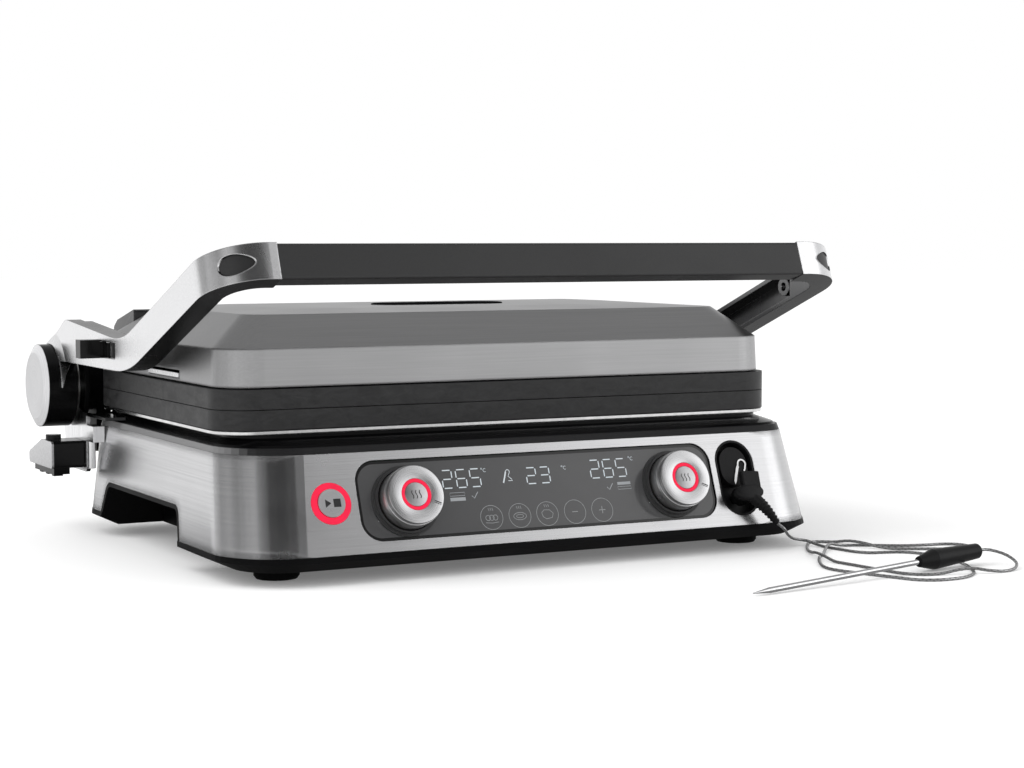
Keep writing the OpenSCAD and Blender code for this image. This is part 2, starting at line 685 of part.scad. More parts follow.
// The recess is deep below, where the plug goes in, and carries a raised pad above
module probe_socket() centred() color("#141416") on_panel(jack_u, panel_v, -jack_deep) difference() {
    union() {
        translate([0, 0, -wall_t]) obround(jack_w - 2 * gap, jack_h - 2 * gap, jack_deep + wall_t);
        translate([0, 0, -wall_t]) obround(jack_w + 4, jack_h + 4, jack_deep + wall_t - steel_t - gap);
        translate([0, -13, -wall_t - 10]) cylinder(d = 13, h = 11);
    }
    difference() {
        obround(jack_w - 3, jack_h - 3, jack_deep + 1);
        translate([0, 8.5, -1]) obround(jack_w - 9, jack_h - 26, jack_deep - 0.5);
    }
    translate([0, -13, -wall_t - 9]) cylinder(d = jack_bore, h = 30);
}
module power_board() centred() color("#2f6b3c") translate([100, 200, foot_h + wall_t + 4]) {
    translate([-45, -35, 0]) cube([90, 70, 1.6]);
    for (x = [-40, 40], y = [-30, 30]) translate([x, y, -4 + gap]) cylinder(d = 6, h = 4, $fn = 24);
    translate([-34, -24, 1.6]) cube([22, 28, 12]);
    translate([0, -26, 1.6]) cube([28, 18, 14]);
    for (x = [2, 20]) translate([x, 14, 1.6]) cylinder(d = 12, h = 14, $fn = 24);
}

// Hinge

module hinge_post() {
    difference() {
        union() {
            side_prism(post_x - post_t, post_x, rounded(
                [[post_y0, post_low], [hub_y + 8, post_low],
                 [hub_y + 17, hub_z - 14], [hub_y - 17, hub_z - 14],
                 [post_y0 + 8, tab_z + 2.2], [post_y0, tab_z + 2.2]], [4, 4, 0, 0, 3, 0]));
            rod(post_x - post_t, post_x, hub_y, hub_z, 36);
            translate([post_x - post_t, tab_y, tab_z]) cube([post_t, post_y0 + 4 - tab_y, 2.2]);
            translate([0, 0, tab_z]) linear_extrude(2.2) polygon(
                [[base_w / 2 - 11, tab_y - 8], [post_x, tab_y - 5],
                 [post_x, tab_y + 30], [base_w / 2 - 11, tab_y + 43]]);
            translate([skirt_half(skirt_top - 12) + gap, post_y0 - 16, skirt_top - 12])
                cube([post_x - skirt_half(skirt_top - 12) - gap, 20, 11.5]);
            translate([post_x - 2.6, post_y0 - 4, post_low + 3]) cylinder(r = 2.6, h = 22);
        }
        rod(post_x - 20, post_x + 20, hub_y, hub_z, pin_d + 2 * run);
        translate([post_x - 20, key_y - lever_travel - gap, key_z - gap])
            cube([40, key_l + lever_travel + 2 * gap, key_h + 2 * gap]);
    }
}
module right_hinge_post() centred() color("#c3c4c7") hinge_post();
module left_hinge_post() centred() color("#c3c4c7") mirror([1, 0, 0]) hinge_post();
// A black barrel behind the plates covers each pin's inner end, with a flange beside the post
module hinge_shrouds() centred() color("#141416") both_sides() difference() {
    x = post_x - post_t - gap;
    union() {
        rod(shroud_x, x, hub_y, hub_z, 2 * shroud_r);
        rod(x - 2.7, x, hub_y, hub_z, drum_d + 2);
        rod(x - 5.2, x - 2.6, hub_y, hub_z, drum_d - 6);
        side_prism(shroud_x, shroud_x + 11, rounded(
            [[base_d + gap, 56], [base_d + gap + 5, 56], [hub_y + 8, hub_z - shroud_r + 4],
             [hub_y - 12, hub_z - 4], [base_d + gap, hub_z - shroud_r + 4]], [1, 2, 0, 0, 0]));
    }
    rod(x - 3.4, x + 5, hub_y, hub_z, pin_d + 6 + 2 * gap);
}
module hinge_pins() centred() color("#a9abaf") both_sides() {
    rod(post_x - post_t - 2.4, drum_x + drum_l - 3, hub_y, hub_z, pin_d);
    rod(post_x - post_t - 3, post_x - post_t - gap / 2, hub_y, hub_z, pin_d + 6);
}
module friction_washers() centred() color("#4a4b4e") both_sides() for (i = [0, 1]) difference() {
    x = post_x + i * washer_t;
    rod(x + 0.05, x + washer_t - 0.05 * i, hub_y, hub_z, drum_d - 3 - 4 * i);
    rod(post_x - 1, post_x + 10, hub_y, hub_z, pin_d + 2 * run);
}
module release_lever() {
    difference() {
        side_prism(post_x + gap, post_x + gap + lever_w - lever_cap_t, lever_outline());
        translate([post_x - 1, lever_y + 8, lever_z - 1]) cube([lever_w - 6, lever_l - 24, 3]);
    }
    translate([post_x + lever_w - 7, lever_y + 21, lever_z + lever_h - eps]) cylinder(d = 11, h = 3.6);
    translate([post_x + 10, lever_y + 3, lever_z - 4.6]) cube([lever_w - 12, lever_l - 10, 4.6 + eps]);
    for (y = [10, 26, 42]) translate([post_x + 13, lever_y + y, lever_z - 6.4]) cube([lever_w - 17, 6, 2]);
    translate([post_x - post_t - gap, key_y, key_z]) cube([post_t + 3 * gap, key_l, key_h]);
    translate([post_x - post_t - gap - 1.6, key_y + 2, key_z - 3]) cube([1.6, key_l - 4, key_h + 6]);
}
function lever_outline() = rounded(
    [[lever_y, lever_z], [lever_y + lever_l, lever_z], [lever_y + lever_l, lever_z + 8],
     [lever_y + 27, lever_z + lever_h], [lever_y, lever_z + lever_h]], [2, 3, 3, 3, 2]);
module lever_cap() {
    x = post_x + gap + lever_w;
    side_prism(x - lever_cap_t + eps, x, lever_outline());
}
module right_release_lever() centred() color("#141416") release_lever();
module left_release_lever() centred() color("#141416") mirror([1, 0, 0]) release_lever();
module right_lever_cap() centred() color("#d0d1d3") lever_cap();
module left_lever_cap() centred() color("#d0d1d3") mirror([1, 0, 0]) lever_cap();
module hub_drums() centred() color("#161618") both_sides() difference() {
    rod(drum_x, drum_x + drum_l, hub_y, hub_z, drum_d);
    rod(drum_x - 5, drum_x + drum_l - 2.6, hub_y, hub_z, pin_d + 2 * run);
}
module hub_caps() centred() color("#d6d7d9") both_sides()
    translate([drum_x + drum_l + 0.05, hub_y, hub_z]) rotate([0, 90, 0])
        cylinder(r1 = drum_r, r2 = drum_r - cap_bevel, h = cap_h);

// Handle

function arm_outline(inset, front) = rounded(
    [[front, arm_top_z(front) - inset / cos(panel_lean)],
     [elbow_top_y, elbow_top_z(elbow_top_y) - inset],
     [hood_y, elbow_top_z(hood_y) - inset],
     [hood_end_y, hood_end_z - inset],
     [hood_end_y, elbow_low_z + inset],
     [elbow_low_y, elbow_low_z + inset],
     [front, arm_low_z(front) + inset / cos(panel_lean)]],
    [0, elbow_top_r, 15, 2, 0, elbow_low_r, 0]);
module arm() {
    difference() {
        union() {
            difference() {
                intersection() {
                    side_prism(0, arm_x, arm_outline(0, -60));
                    on_handle(0, 0, -200) linear_extrude(400) difference() {
                        union() {
                            translate([grip_l / 2 + gap / 2, 0])
                                square([arm_x - bend_r - grip_l / 2 - gap / 2, arm_t]);
                            translate([arm_x - arm_t, bend_r]) square([arm_t, 420]);
                            translate([arm_x - bend_r, bend_r]) circle(bend_r);
                        }
                        translate([arm_x - bend_r - 40, bend_r]) square([40 + bend_r - arm_t, 60]);
                        translate([arm_x - bend_r, bend_r]) circle(bend_r - arm_t);
                        translate([grip_l / 2 - 40, arm_t]) square([arm_x - bend_r - grip_l / 2 + 40, 60]);
                        translate([0, -1]) square([grip_l / 2 + gap / 2, 90]);
                    }
                }
                intersection() {
                    side_prism(arm_x - arm_t - 5, arm_x - arm_wall, arm_outline(arm_wall, 40));
                    translate([0, bend_r + 6, 0]) cube([arm_x + 5, hood_y - 14 - bend_r, 300]);
                }
                translate([0, hood_y - 14, 0]) cube([drum_x - gap / 2, 200, 300]);
            }
            intersection() {
                rod(drum_x, arm_x + hood_lip, hub_y, hub_z, 2 * hood_r);
                translate([0, hub_y, 0]) rotate([90, 0, 0]) linear_extrude(hood_r + 5) polygon(
                    [[arm_x + hood_lip + 1, hub_z], [arm_x + 1.3, hub_z],
                     [arm_x - 1.6, hub_z + 9.5], [arm_x - 6, hub_z + 17],
                     [arm_x - 7.5, hub_z + 22], [arm_x + hood_lip + 1, hub_z + 22]]);
            }
            intersection() {
                translate([arm_x - 1, hub_y, hub_z]) rotate([0, 90, 0])
                    cylinder(r1 = hood_r + 11, r2 = hood_r - 1.4, h = hood_lip + 1);
                side_prism(arm_x - 1, arm_x + hood_lip, arm_outline(0, 60));
            }
            on_handle(arm_x - arm_t + 0.6, boss_front, arm_h / 2) rotate([0, 90, 0])
                cylinder(d = 13, h = arm_t - 2);
        }
        rod(drum_x - 30, arm_x + 10, hub_y, hub_z, drum_d + 2 * gap);
        translate([drum_x - 30, slot_y0, slot_z - slot_h / 2]) cube([60, slot_y1 - slot_y0, slot_h]);
        rod(drum_x - 10, arm_x - 2.4, float_y, float_z, float_d + 2 * run);
        on_handle(grip_l / 2 - 1, arm_t / 2, arm_h / 2) rotate([0, 90, 0])
            cylinder(d = plug_screw_d + 0.4, h = 90);
        on_handle(plug_x, arm_t / 2, arm_h / 2) rotate([0, 90, 0]) cylinder(d = plug_d, h = 60);
        on_handle(arm_x - arm_t - 1, boss_front, arm_h / 2) rotate([0, 90, 0]) cylinder(d = 6, h = 7);
    }
}
module right_arm() centred() color("#c9cacc") arm();
module left_arm() centred() color("#c9cacc") mirror([1, 0, 0]) arm();
module grip() centred() color("#38393b") on_handle(0, 0, 0) difference() {
    rotate([90, 0, 90]) translate([0, 0, -grip_l / 2]) linear_extrude(grip_l) polygon(rounded(
        [[0, 0], [0, arm_h], [arm_t + 0.6, arm_h - 1], [arm_t + 0.6, 1]], [1.6, 2.4, 3, 3]));
    for (s = [-1, 1]) translate([s * (grip_l / 2 - 21), arm_t / 2, arm_h / 2]) rotate([0, s * 90, 0])
        cylinder(d = plug_screw_d + 0.2, h = 30);
}
module grip_screws() centred() color("#5b5d60") both_sides()
    on_handle(grip_l / 2 - 18, arm_t / 2, arm_h / 2) rotate([0, 90, 0]) {
        cylinder(d = plug_screw_d, h = 29);
        translate([0, 0, 28 + gap]) cylinder(d = 9, h = 3.4);
    }
module corner_plugs() centred() color("#222224") both_sides() intersection() {
    on_handle(plug_x + 4, arm_t / 2, arm_h / 2) rotate([0, 90, 0]) cylinder(d = plug_d - 0.2, h = 60);
    on_handle(arm_x - bend_r, bend_r, 0) cylinder(r = bend_r - 0.8, h = arm_h);
}
module slider() {
    translate([arm_x + gap, slider_y, slot_z - slider_h / 2]) cube([slider_out, slider_l, slider_h]);
    translate([arm_x - arm_wall - gap - 1, slider_y + 1, slot_z - slot_h / 2 + gap])
        cube([arm_wall + 3 * gap + 1, slider_l - 2, slot_h - 2 * gap]);
    translate([arm_x - arm_wall - gap - 2.4, slider_y - 4, slot_z - slot_h / 2 - 1.4])
        cube([2.4, slider_l + 8, slot_h + 0.4]);
}
module right_slider() centred() color("#0f0f11") slider();
module left_slider() centred() color("#0f0f11") mirror([1, 0, 0]) slider();

// Lid

module lid_slice(z, inset, y0, y1) {
    r = max(6, plate_r - inset - y0 / 3);
    translate([0, lid_y + y0 + inset, z])
        round_plate(lid_w - 2 * inset - 2 * y0, lid_d - y0 - y1 - 2 * inset, r, eps, $fn = 48);
}
module lid_solid(inset, drop) {
    hull() {
        lid_slice(cover_z - drop, inset, 0, 0);
        lid_slice(crease_z, inset, 1, 1);
        lid_slice(shoulder_z - inset, inset, shoulder_w, shoulder_w + 14);
        lid_slice(shoulder_z + crown_h - inset - eps, inset, shoulder_w + 40, shoulder_w + 50);
    }
}
module lid_cover() centred() color("#9fa0a2") difference() {
    union() {
        difference() {
            lid_solid(0, 0);
            lid_solid(cover_t, 2);
        }
        intersection() {
            screw_places() difference() {
                translate([0, 0, 3.2]) cylinder(d = 10, h = 60);
                cylinder(d = screw_d + 0.1, h = 18);
            }
            lid_solid(0.6, 0);
        }
    }
    translate([-lid_w / 2 - 5, release_y, cover_z + 2]) cube([20, release_l, 5]);
    inlay_shape(-1, 0.6);
}
module inlay_shape(sink, grow) {
    translate([0, inlay_y, shoulder_z + crown_h + sink]) obround(inlay_w + grow, inlay_d + grow, 3);
}
module lid_inlay() centred() color("#0c0c0e") difference() {
    inlay_shape(-1 + 0.05, 0);
    translate([0, inlay_y, shoulder_z + crown_h - 0.3]) obround(inlay_w + 20, inlay_d + 20, 5);
}
module lid_frame() centred() color("#131315") difference() {
    union() {
        translate([0, lid_y + 1.2, frame_z + gap])
            round_plate(lid_w - 2.4, lid_d - 2.4, plate_r - 1, frame_lip - gap);
        translate([0, lid_y + cover_t + 2, cover_z - eps])
            round_plate(lid_w - 2 * cover_t - 4, lid_d - 2 * cover_t - 4, plate_r - 4, 10);
    }
    translate([0, lid_y + 10, frame_z - 1]) round_plate(lid_w - 24, lid_d - 24, plate_r - 8, 9);
    translate([0, lid_y + 40, frame_z - 1]) round_plate(lid_w - 84, lid_d - 84, plate_r - 8, 14);
    screw_places() translate([0, 0, -1]) cylinder(d = screw_d + 0.4, h = 8);
    translate([-lid_w / 2, release_y - 1, cover_z + 1.6]) cube([18, release_l + 2, 6]);
}
module plate_release_bar() centred() color("#d0d1d3")
    translate([-lid_w / 2 - 0.6, release_y + gap, cover_z + 2.3]) {
        cube([12, release_l - 2 * gap, 3]);
    }
module lid_rear_hood() centred() color("#3a3b3d") difference() {
    side_prism(-hood_x, hood_x, rounded(
        [[lid_rear - shoulder_w - 12, shoulder_z - 0.6], [lid_rear + 8, shoulder_z - 11],
         [hood_rear - 6, shoulder_z - 16], [hood_rear, cover_z + 3],
         [lid_rear + gap, cover_z + 3], [lid_rear + gap, crease_z + 0.6]], [1, 2, 3, 4, 0, 0]));
    both_sides() rod(hood_x - 22, hood_x + 20, float_y, float_z, float_d + 2 * run);
    side_prism(-hood_x + 26, hood_x - 26, rounded(
        [[lid_rear + 3, crease_z + 2], [lid_rear + 8, shoulder_z - 14],
         [hood_rear - 8, shoulder_z - 19], [hood_rear - 3, cover_z + 6],
         [hood_rear - 3, cover_z], [lid_rear + 3, cover_z]], [1, 1, 1, 1, 0, 0]));
}
module lid_pins() centred() color("#a9abaf") both_sides() {
    rod(hood_x - 20, arm_x - 3, float_y, float_z, float_d);
    rod(hood_x + gap, hood_x + 9, float_y, float_z, float_d + 6);
}
module lid_screws() centred() color("#8d8f93") screw_places() {
    cylinder(d = screw_d, h = 16);
    translate([0, 0, -2]) cylinder(d = 8, h = 2);
}
module screw_places() {
    for (x = [-1, 1], y = [lid_y + 24, lid_rear - 24])
        translate([x * (lid_w / 2 - 26), y, frame_z + 8]) children();
}

// Probe

module probe_plug() centred() color("#161618") {
    on_panel(jack_u, plug_v, -jack_deep - 8) cylinder(d = jack_bore - 2 * run, h = 10);
    on_panel(jack_u, plug_v, -jack_deep + gap) cylinder(d = plug_body_d, h = jack_deep + 8);
    on_panel(jack_u, plug_v, -1.1) linear_extrude(8) polygon(rounded(
        [[-1.3, 3], [11, 3], [12.8, 8.6], [13.1, 16], [-0.2, 16.2], [-1, 9]], [0, 1, 2, 2.4, 2.4, 2]));
    hull() {
        on_panel(jack_u, plug_v, 3) translate([0, -2, 0]) cylinder(d = 9, h = 4, $fn = 24);
        translate(cable_points[0]) rotate([0, 0, -30]) rotate([0, 130, 0])
            cylinder(d = 4, h = eps, $fn = 24);
    }
}
function ring(path, i) =
    let (n = len(path), d = unit(path[min(i + 1, n - 1)] - path[max(i - 1, 0)]),
         s = unit(cross(d, [0, 0, 1])), u = cross(s, d))
    [for (k = [0:cable_sides - 1]) let (a = 360 * (k + 0.5) / cable_sides)
        path[i] + (s * cos(a) + u * sin(a)) * cable_d / 2];
module probe_cable() centred() color("#8c8e92") {
    n = len(cable_points);
    m = cable_sides;
    polyhedron(
        points = [for (i = [0:n - 1]) each ring(cable_points, i)],
        faces = concat(
            [[for (k = [0:m - 1]) m - 1 - k]],
            [[for (k = [0:m - 1]) (n - 1) * m + k]],
            [for (i = [0:n - 2], k = [0:m - 1])
                [i * m + k, i * m + (k + 1) % m, (i + 1) * m + (k + 1) % m]],
            [for (i = [0:n - 2], k = [0:m - 1])
                [i * m + k, (i + 1) * m + (k + 1) % m, (i + 1) * m + k]]));
}
module along_probe(from) {
    turn = atan2(handle_dir[1], handle_dir[0]);
    tilt = acos(handle_dir[2]);
    translate(handle_rear + handle_dir * from) rotate([0, tilt, turn]) children();
}
module probe_handle() centred() color("#1a1a1c") along_probe(0) difference() {
    rotate_extrude() polygon([[0, 0], [4, 0], [5, 1.5], [6.6, handle_l - 17],
        [6.6, handle_l - 13], [3.4, handle_l], [0, handle_l]]);
    translate([0, 0, handle_l - 12]) cylinder(d = needle_d + 0.1, h = 20);
}
module probe_needle() centred() color("#c8c9cc") along_probe(0) {
    len_all = norm(needle_foot - handle_rear);
    translate([0, 0, handle_l - 11]) cylinder(d = needle_d, h = len_all - handle_l - 3);
    translate([0, 0, len_all - 14 - eps]) cylinder(d1 = needle_d, d2 = 0.6, h = 14);
}

base_tub();
steel_skirt();
deck();
rear_cover();
rubber_feet();
base_screws();
reflector_pan();
lower_plate();
lower_heater();
lower_sensor();
drip_tray();
cord_gland();
control_glass();
display_board();
power_board();
knob_encoders();
knob_seats();
left_knob();
right_knob();
left_knob_face();
right_knob_face();
left_knob_light();
right_knob_light();
left_knob_button();
right_knob_button();
start_button_ring();
start_button();
probe_socket();
left_hinge_post();
right_hinge_post();
hinge_pins();
hinge_shrouds();
friction_washers();
left_release_lever();
right_release_lever();
left_lever_cap();
right_lever_cap();
left_arm();
right_arm();
grip();
grip_screws();
corner_plugs();
hub_drums();
hub_caps();
left_slider();
right_slider();
lid_cover();
lid_frame();
lid_rear_hood();
lid_inlay();
lid_pins();
lid_screws();
upper_plate();
upper_heater();
upper_sensor();
plate_release_bar();
probe_plug();
probe_cable();
probe_handle();
probe_needle();
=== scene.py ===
import math
import bmesh
import bpy
import numpy as np
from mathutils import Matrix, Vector


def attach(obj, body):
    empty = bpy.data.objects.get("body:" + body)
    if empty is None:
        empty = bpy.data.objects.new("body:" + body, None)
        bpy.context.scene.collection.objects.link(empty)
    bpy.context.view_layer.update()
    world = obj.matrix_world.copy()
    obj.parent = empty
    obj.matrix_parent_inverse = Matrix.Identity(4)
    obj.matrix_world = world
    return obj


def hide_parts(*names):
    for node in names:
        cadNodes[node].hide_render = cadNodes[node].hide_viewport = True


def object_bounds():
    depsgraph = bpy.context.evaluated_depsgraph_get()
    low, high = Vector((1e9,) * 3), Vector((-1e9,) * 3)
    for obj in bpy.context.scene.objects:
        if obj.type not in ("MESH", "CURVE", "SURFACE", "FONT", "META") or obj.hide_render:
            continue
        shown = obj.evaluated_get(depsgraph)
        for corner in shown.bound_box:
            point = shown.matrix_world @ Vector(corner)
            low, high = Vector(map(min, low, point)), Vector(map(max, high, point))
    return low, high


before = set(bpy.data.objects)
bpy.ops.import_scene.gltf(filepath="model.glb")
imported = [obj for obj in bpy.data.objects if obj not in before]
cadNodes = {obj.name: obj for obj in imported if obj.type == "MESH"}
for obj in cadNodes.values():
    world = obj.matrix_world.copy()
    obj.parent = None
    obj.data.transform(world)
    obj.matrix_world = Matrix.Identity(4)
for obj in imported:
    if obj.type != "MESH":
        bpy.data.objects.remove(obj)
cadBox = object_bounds()
print("frame loaded:", len(cadNodes), "nodes")

# The part is drawn in millimetres from the skirt's front foot; the frame's middle lies behind it
middle = 178.417007


def toRow(points):
    # millimetres from the skirt's front foot, to metres in the frame
    return (np.asarray(points, float) - (0.0, middle, 0.0)) / 1000


# Camera

cameraSetup = {"place": (-0.657586, -1.360053, 0.212471), "lens": 74.392, "tilt": 86.023, "turn": -28.0}

lensData = bpy.data.cameras.new("mainCamera")
lensData.lens = cameraSetup["lens"]
lensData.sensor_width = 36
lensData.clip_start = 0.02
lensData.clip_end = 60
mainCamera = bpy.data.objects.new("mainCamera", lensData)
mainCamera.location = cameraSetup["place"]
mainCamera.rotation_euler = (math.radians(cameraSetup["tilt"]), 0, math.radians(cameraSetup["turn"]))
bpy.context.scene.collection.objects.link(mainCamera)
bpy.context.scene.camera = mainCamera


# Meshes as arrays

def gridFaces(rows, columns, closeRows=False, closeColumns=False, start=0):
    # quads between neighbours of a rows by columns grid of points
    i = np.arange(rows if closeRows else rows - 1)
    j = np.arange(columns if closeColumns else columns - 1)
    i, j = (a.ravel() for a in np.meshgrid(i, j, indexing="ij"))
    k, m = (i + 1) % rows, (j + 1) % columns
    return start + np.stack([i * columns + j, i * columns + m, k * columns + m, k * columns + j], axis=1)


def makePiece(name, points, faces, uv=None, smooth=True):
    # one mesh object from arrays of points, of faces (lists of equal length) and of a map position per point
    mesh = bpy.data.meshes.new(name)
    faceLists = [f.tolist() for f in faces] if isinstance(faces, list) else [faces.tolist()]
    mesh.from_pydata(np.asarray(points, float).tolist(), [], sum(faceLists, []))
    if uv is not None:
        corners = np.zeros(len(mesh.loops), int)
        mesh.loops.foreach_get("vertex_index", corners)
        mesh.uv_layers.new(name="surface").data.foreach_set("uv", np.asarray(uv, float)[corners].ravel())
    mesh.polygons.foreach_set("use_smooth", np.full(len(mesh.polygons), smooth))
    mesh.update()
    piece = bpy.data.objects.new(name, mesh)
    bpy.context.scene.collection.objects.link(piece)
    return piece


def carryRound(path, radii, sides):
    # a circle carried along a path: path point + radius * (side * cos + up * sin); returns points, faces, map
    path = np.asarray(path, float)
    radii = np.broadcast_to(np.asarray(radii, float), len(path))
    ahead = np.gradient(path, axis=0)
    ahead /= np.linalg.norm(ahead, axis=1)[:, None]
    side = np.cross(ahead, (0.0, 0.0, 1.0))
    side /= np.linalg.norm(side, axis=1)[:, None]
    up = np.cross(side, ahead)
    turn = np.linspace(0, 2 * np.pi, sides + 1)
    ring = np.cos(turn)[None, :, None] * side[:, None] + np.sin(turn)[None, :, None] * up[:, None]
    points = path[:, None] + ring * radii[:, None, None]
    run = np.concatenate([[0], np.cumsum(np.linalg.norm(np.diff(path, axis=0), axis=1))])
    uv = np.stack(np.meshgrid(run, np.linspace(0, 1, sides + 1), indexing="ij"), axis=-1)
    return points.reshape(-1, 3), gridFaces(len(path), sides + 1)[:, ::-1], uv.reshape(-1, 2)


def turnProfile(profile, sides, centre, right, up, out):
    # a profile (radius, height) turned about an axis: centre + r * cos * right + r * sin * up + h * out
    profile = np.asarray(profile, float)
    turn = np.linspace(0, 2 * np.pi, sides + 1)
    r, h = profile[:, 0][:, None, None], profile[:, 1][:, None, None]
    around = np.cos(turn)[None, :, None] * right + np.sin(turn)[None, :, None] * up
    points = np.asarray(centre, float) + r * around + h * np.asarray(out, float)
    run = np.concatenate([[0], np.cumsum(np.linalg.norm(np.diff(profile, axis=0), axis=1))])
    uv = np.stack(np.meshgrid(run, np.linspace(0, 1, sides + 1), indexing="ij"), axis=-1)
    return points.reshape(-1, 3), gridFaces(len(profile), sides + 1), uv[..., ::-1].reshape(-1, 2)


def joinParts(parts):
    # several (points, faces) put into one pair, each face index moved up by the points before it
    starts = np.cumsum([0] + [len(p) for p, _ in parts[:-1]])
    return np.concatenate([p for p, _ in parts]), [f + s for (_, f), s in zip(parts, starts)]


def weld(piece, distance=0.00001):
    # doubles merged and faces turned outwards
    work = bmesh.new()
    work.from_mesh(piece.data)
    bmesh.ops.remove_doubles(work, verts=work.verts, dist=distance)
    bmesh.ops.recalc_face_normals(work, faces=work.faces)
    work.to_mesh(piece.data)
    work.free()
    return piece


# The control panel leans back; its own right, up and outward directions
panelLean = math.radians(20.7)
panelFoot = np.array([0.0, 0.0, 18.0])
panelRight = np.array([1.0, 0.0, 0.0])
panelUp = np.array([0.0, math.sin(panelLean), math.cos(panelLean)])
panelOut = np.array([0.0, -math.cos(panelLean), math.sin(panelLean)])


def onPanel(across, up, out):
    # a place on the panel: foot + across * right + up * up + out * outward
    across, up, out = np.broadcast_arrays(*(np.asarray(a, float)[..., None] for a in (across, up, out)))
    return toRow(panelFoot + across * panelRight + up * panelUp + out * panelOut)


def ribbon(line, width, closed=False):
    # a flat band along a line: each point moved half the width to both sides along the mean normal
    line = np.asarray(line, float)
    if closed:
        ahead = np.roll(line, -1, axis=0) - np.roll(line, 1, axis=0)
    else:
        ahead = np.gradient(line, axis=0)
    ahead /= np.linalg.norm(ahead, axis=1)[:, None]
    side = np.stack([-ahead[:, 1], ahead[:, 0]], axis=1) * width / 2
    both = np.stack([line + side, line - side], axis=1).reshape(-1, 2)
    return both, gridFaces(len(line), 2, closeRows=closed)


def arc(x, y, radius, start, end, steps=24):
    # points at radius round (x, y) from one angle to another, in degrees
    turn = np.radians(np.linspace(start, end, steps))
    return np.stack([x + radius * np.cos(turn), y + radius * np.sin(turn)], axis=1)


def bar(x0, y0, x1, y1, width):
    # a straight bar with pointed ends, as a segment of a display has
    a, b = np.array([x0, y0], float), np.array([x1, y1], float)
    along = (b - a) / np.linalg.norm(b - a)
    side = np.array([-along[1], along[0]]) * width / 2
    step = along * width / 2
    return np.array([a, a + step - side, b - step - side, b, b - step + side, a + step + side])


def flatPiece(name, bands, plates, out, thick, turnOf=None):
    # bands (points, quads) and plates (one outline each) of the panel plane, given a thickness outwards
    if turnOf is not None:
        x, y, angle = turnOf
        c, s = math.cos(math.radians(angle)), math.sin(math.radians(angle))
        spin = np.array([[c, s], [-s, c]])
        bands = [(p @ spin + (x, y), f) for p, f in bands]
        plates = [p @ spin + (x, y) for p in plates]
    parts = bands + [(p, np.arange(len(p))[None]) for p in plates]
    flat, faces = joinParts(parts)
    piece = makePiece(name, onPanel(flat[:, 0], flat[:, 1], out), faces, smooth=False)
    weld(piece, 0.000001)
    wall = piece.modifiers.new("wall", "SOLIDIFY")
    wall.thickness = thick / 1000
    wall.offset = 1
    return piece


print("camera and mesh tools ready")

# The probe's cable, which comes first because its room decides the frame

probeCable = {
    "diameter": 2.0,
    "stepsBetween": 6,
    "route": [
        [168, -11, 19.4], [172, -13.3, 15.5], [178.5, -9, 10.5], [188, -1, 6.6], [196, 3, 4.6], [202, 1, 3.4],
        [205, -6, 1.6], [206, -16, 1], [208, -28, 1], [210, -41, 1], [216, -50, 1], [226, -53, 1],
        [236, -57, 1], [243, -65, 1], [246, -78, 1], [246, -93, 1], [243, -108, 1], [238, -122, 1],
        [230, -137, 1], [221, -150, 1], [208, -159, 1], [194, -162, 1], [181, -160, 1], [172, -153, 1],
        [167, -142, 1], [158, -118, 1], [153, -106, 1], [151, -93, 1], [154, -82, 1], [160, -71, 1],
        [167, -60, 1], [175, -50, 1], [185, -40, 1], [194, -30, 1.8], [201, -23, 3.2], [208, -18, 3.4],
        [216, -15, 1.8], [226, -16, 1], [236, -21, 1], [246, -28, 1], [258, -35, 1], [272, -39, 1],
        [285, -41, 1], [294, -47, 1], [296, -57, 1], [291, -66, 1], [283, -68, 1], [275, -62, 1],
        [265, -56, 1], [244, -44, 1], [236, -34, 1.6], [231, -23, 3.2], [228, -11, 3.2], [224, 0, 1.4],
        [217, 8, 1], [209, 8, 1], [202, 1, 1], [195, -8, 1], [187, -20, 1], [180, -34, 1.8],
        [175, -46, 3.4], [172, -58, 3.3], [172, -72, 1], [174, -87, 1], [176, -103, 1], [178, -118, 1],
        [181, -131, 1], [189, -140, 1], [201, -143, 1.2], [213, -145, 3], [223, -147, 3.4], [232, -151, 2],
        [243, -153, 1], [254, -150, 1.4], [262, -143, 3.2], [265.5, -134, 5.2], [265, -126, 7.2],
        [261.5, -118.2, 8.6], [256, -117.1, 9], [251, -118, 8.8]],
}


def smoothRoute(route, steps):
    # a curve through all points: each stretch is a cubic whose end slopes join the neighbours (Catmull-Rom)
    p = np.asarray(route, float)
    p = np.concatenate([[2 * p[0] - p[1]], p, [2 * p[-1] - p[-2]]])
    t = np.linspace(0, 1, steps, endpoint=False)[None, :, None]
    a, b, c, d = (p[i:len(p) - 3 + i][:, None] for i in range(4))
    curve = 0.5 * (
        2 * b + (c - a) * t + (2 * a - 5 * b + 4 * c - d) * t ** 2 + (3 * b - a - 3 * c + d) * t ** 3)
    return np.concatenate([curve.reshape(-1, 3), p[-2:-1]])


cableLine = toRow(smoothRoute(probeCable["route"], probeCable["stepsBetween"]))
cableLine[:, 2] = np.maximum(cableLine[:, 2], probeCable["diameter"] / 2000)
cableEdge = probeCable["diameter"] / 2000 + 0.0001
cableLine[:, :2] = np.clip(cableLine[:, :2], np.array(cadBox[0][:2]) + cableEdge,
                           np.array(cadBox[1][:2]) - cableEdge)
cable = makePiece("probeLead", *carryRound(cableLine, probeCable["diameter"] / 2000, 12))
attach(cable, "base")
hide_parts("probe_cable")

# Shared effects as node groups


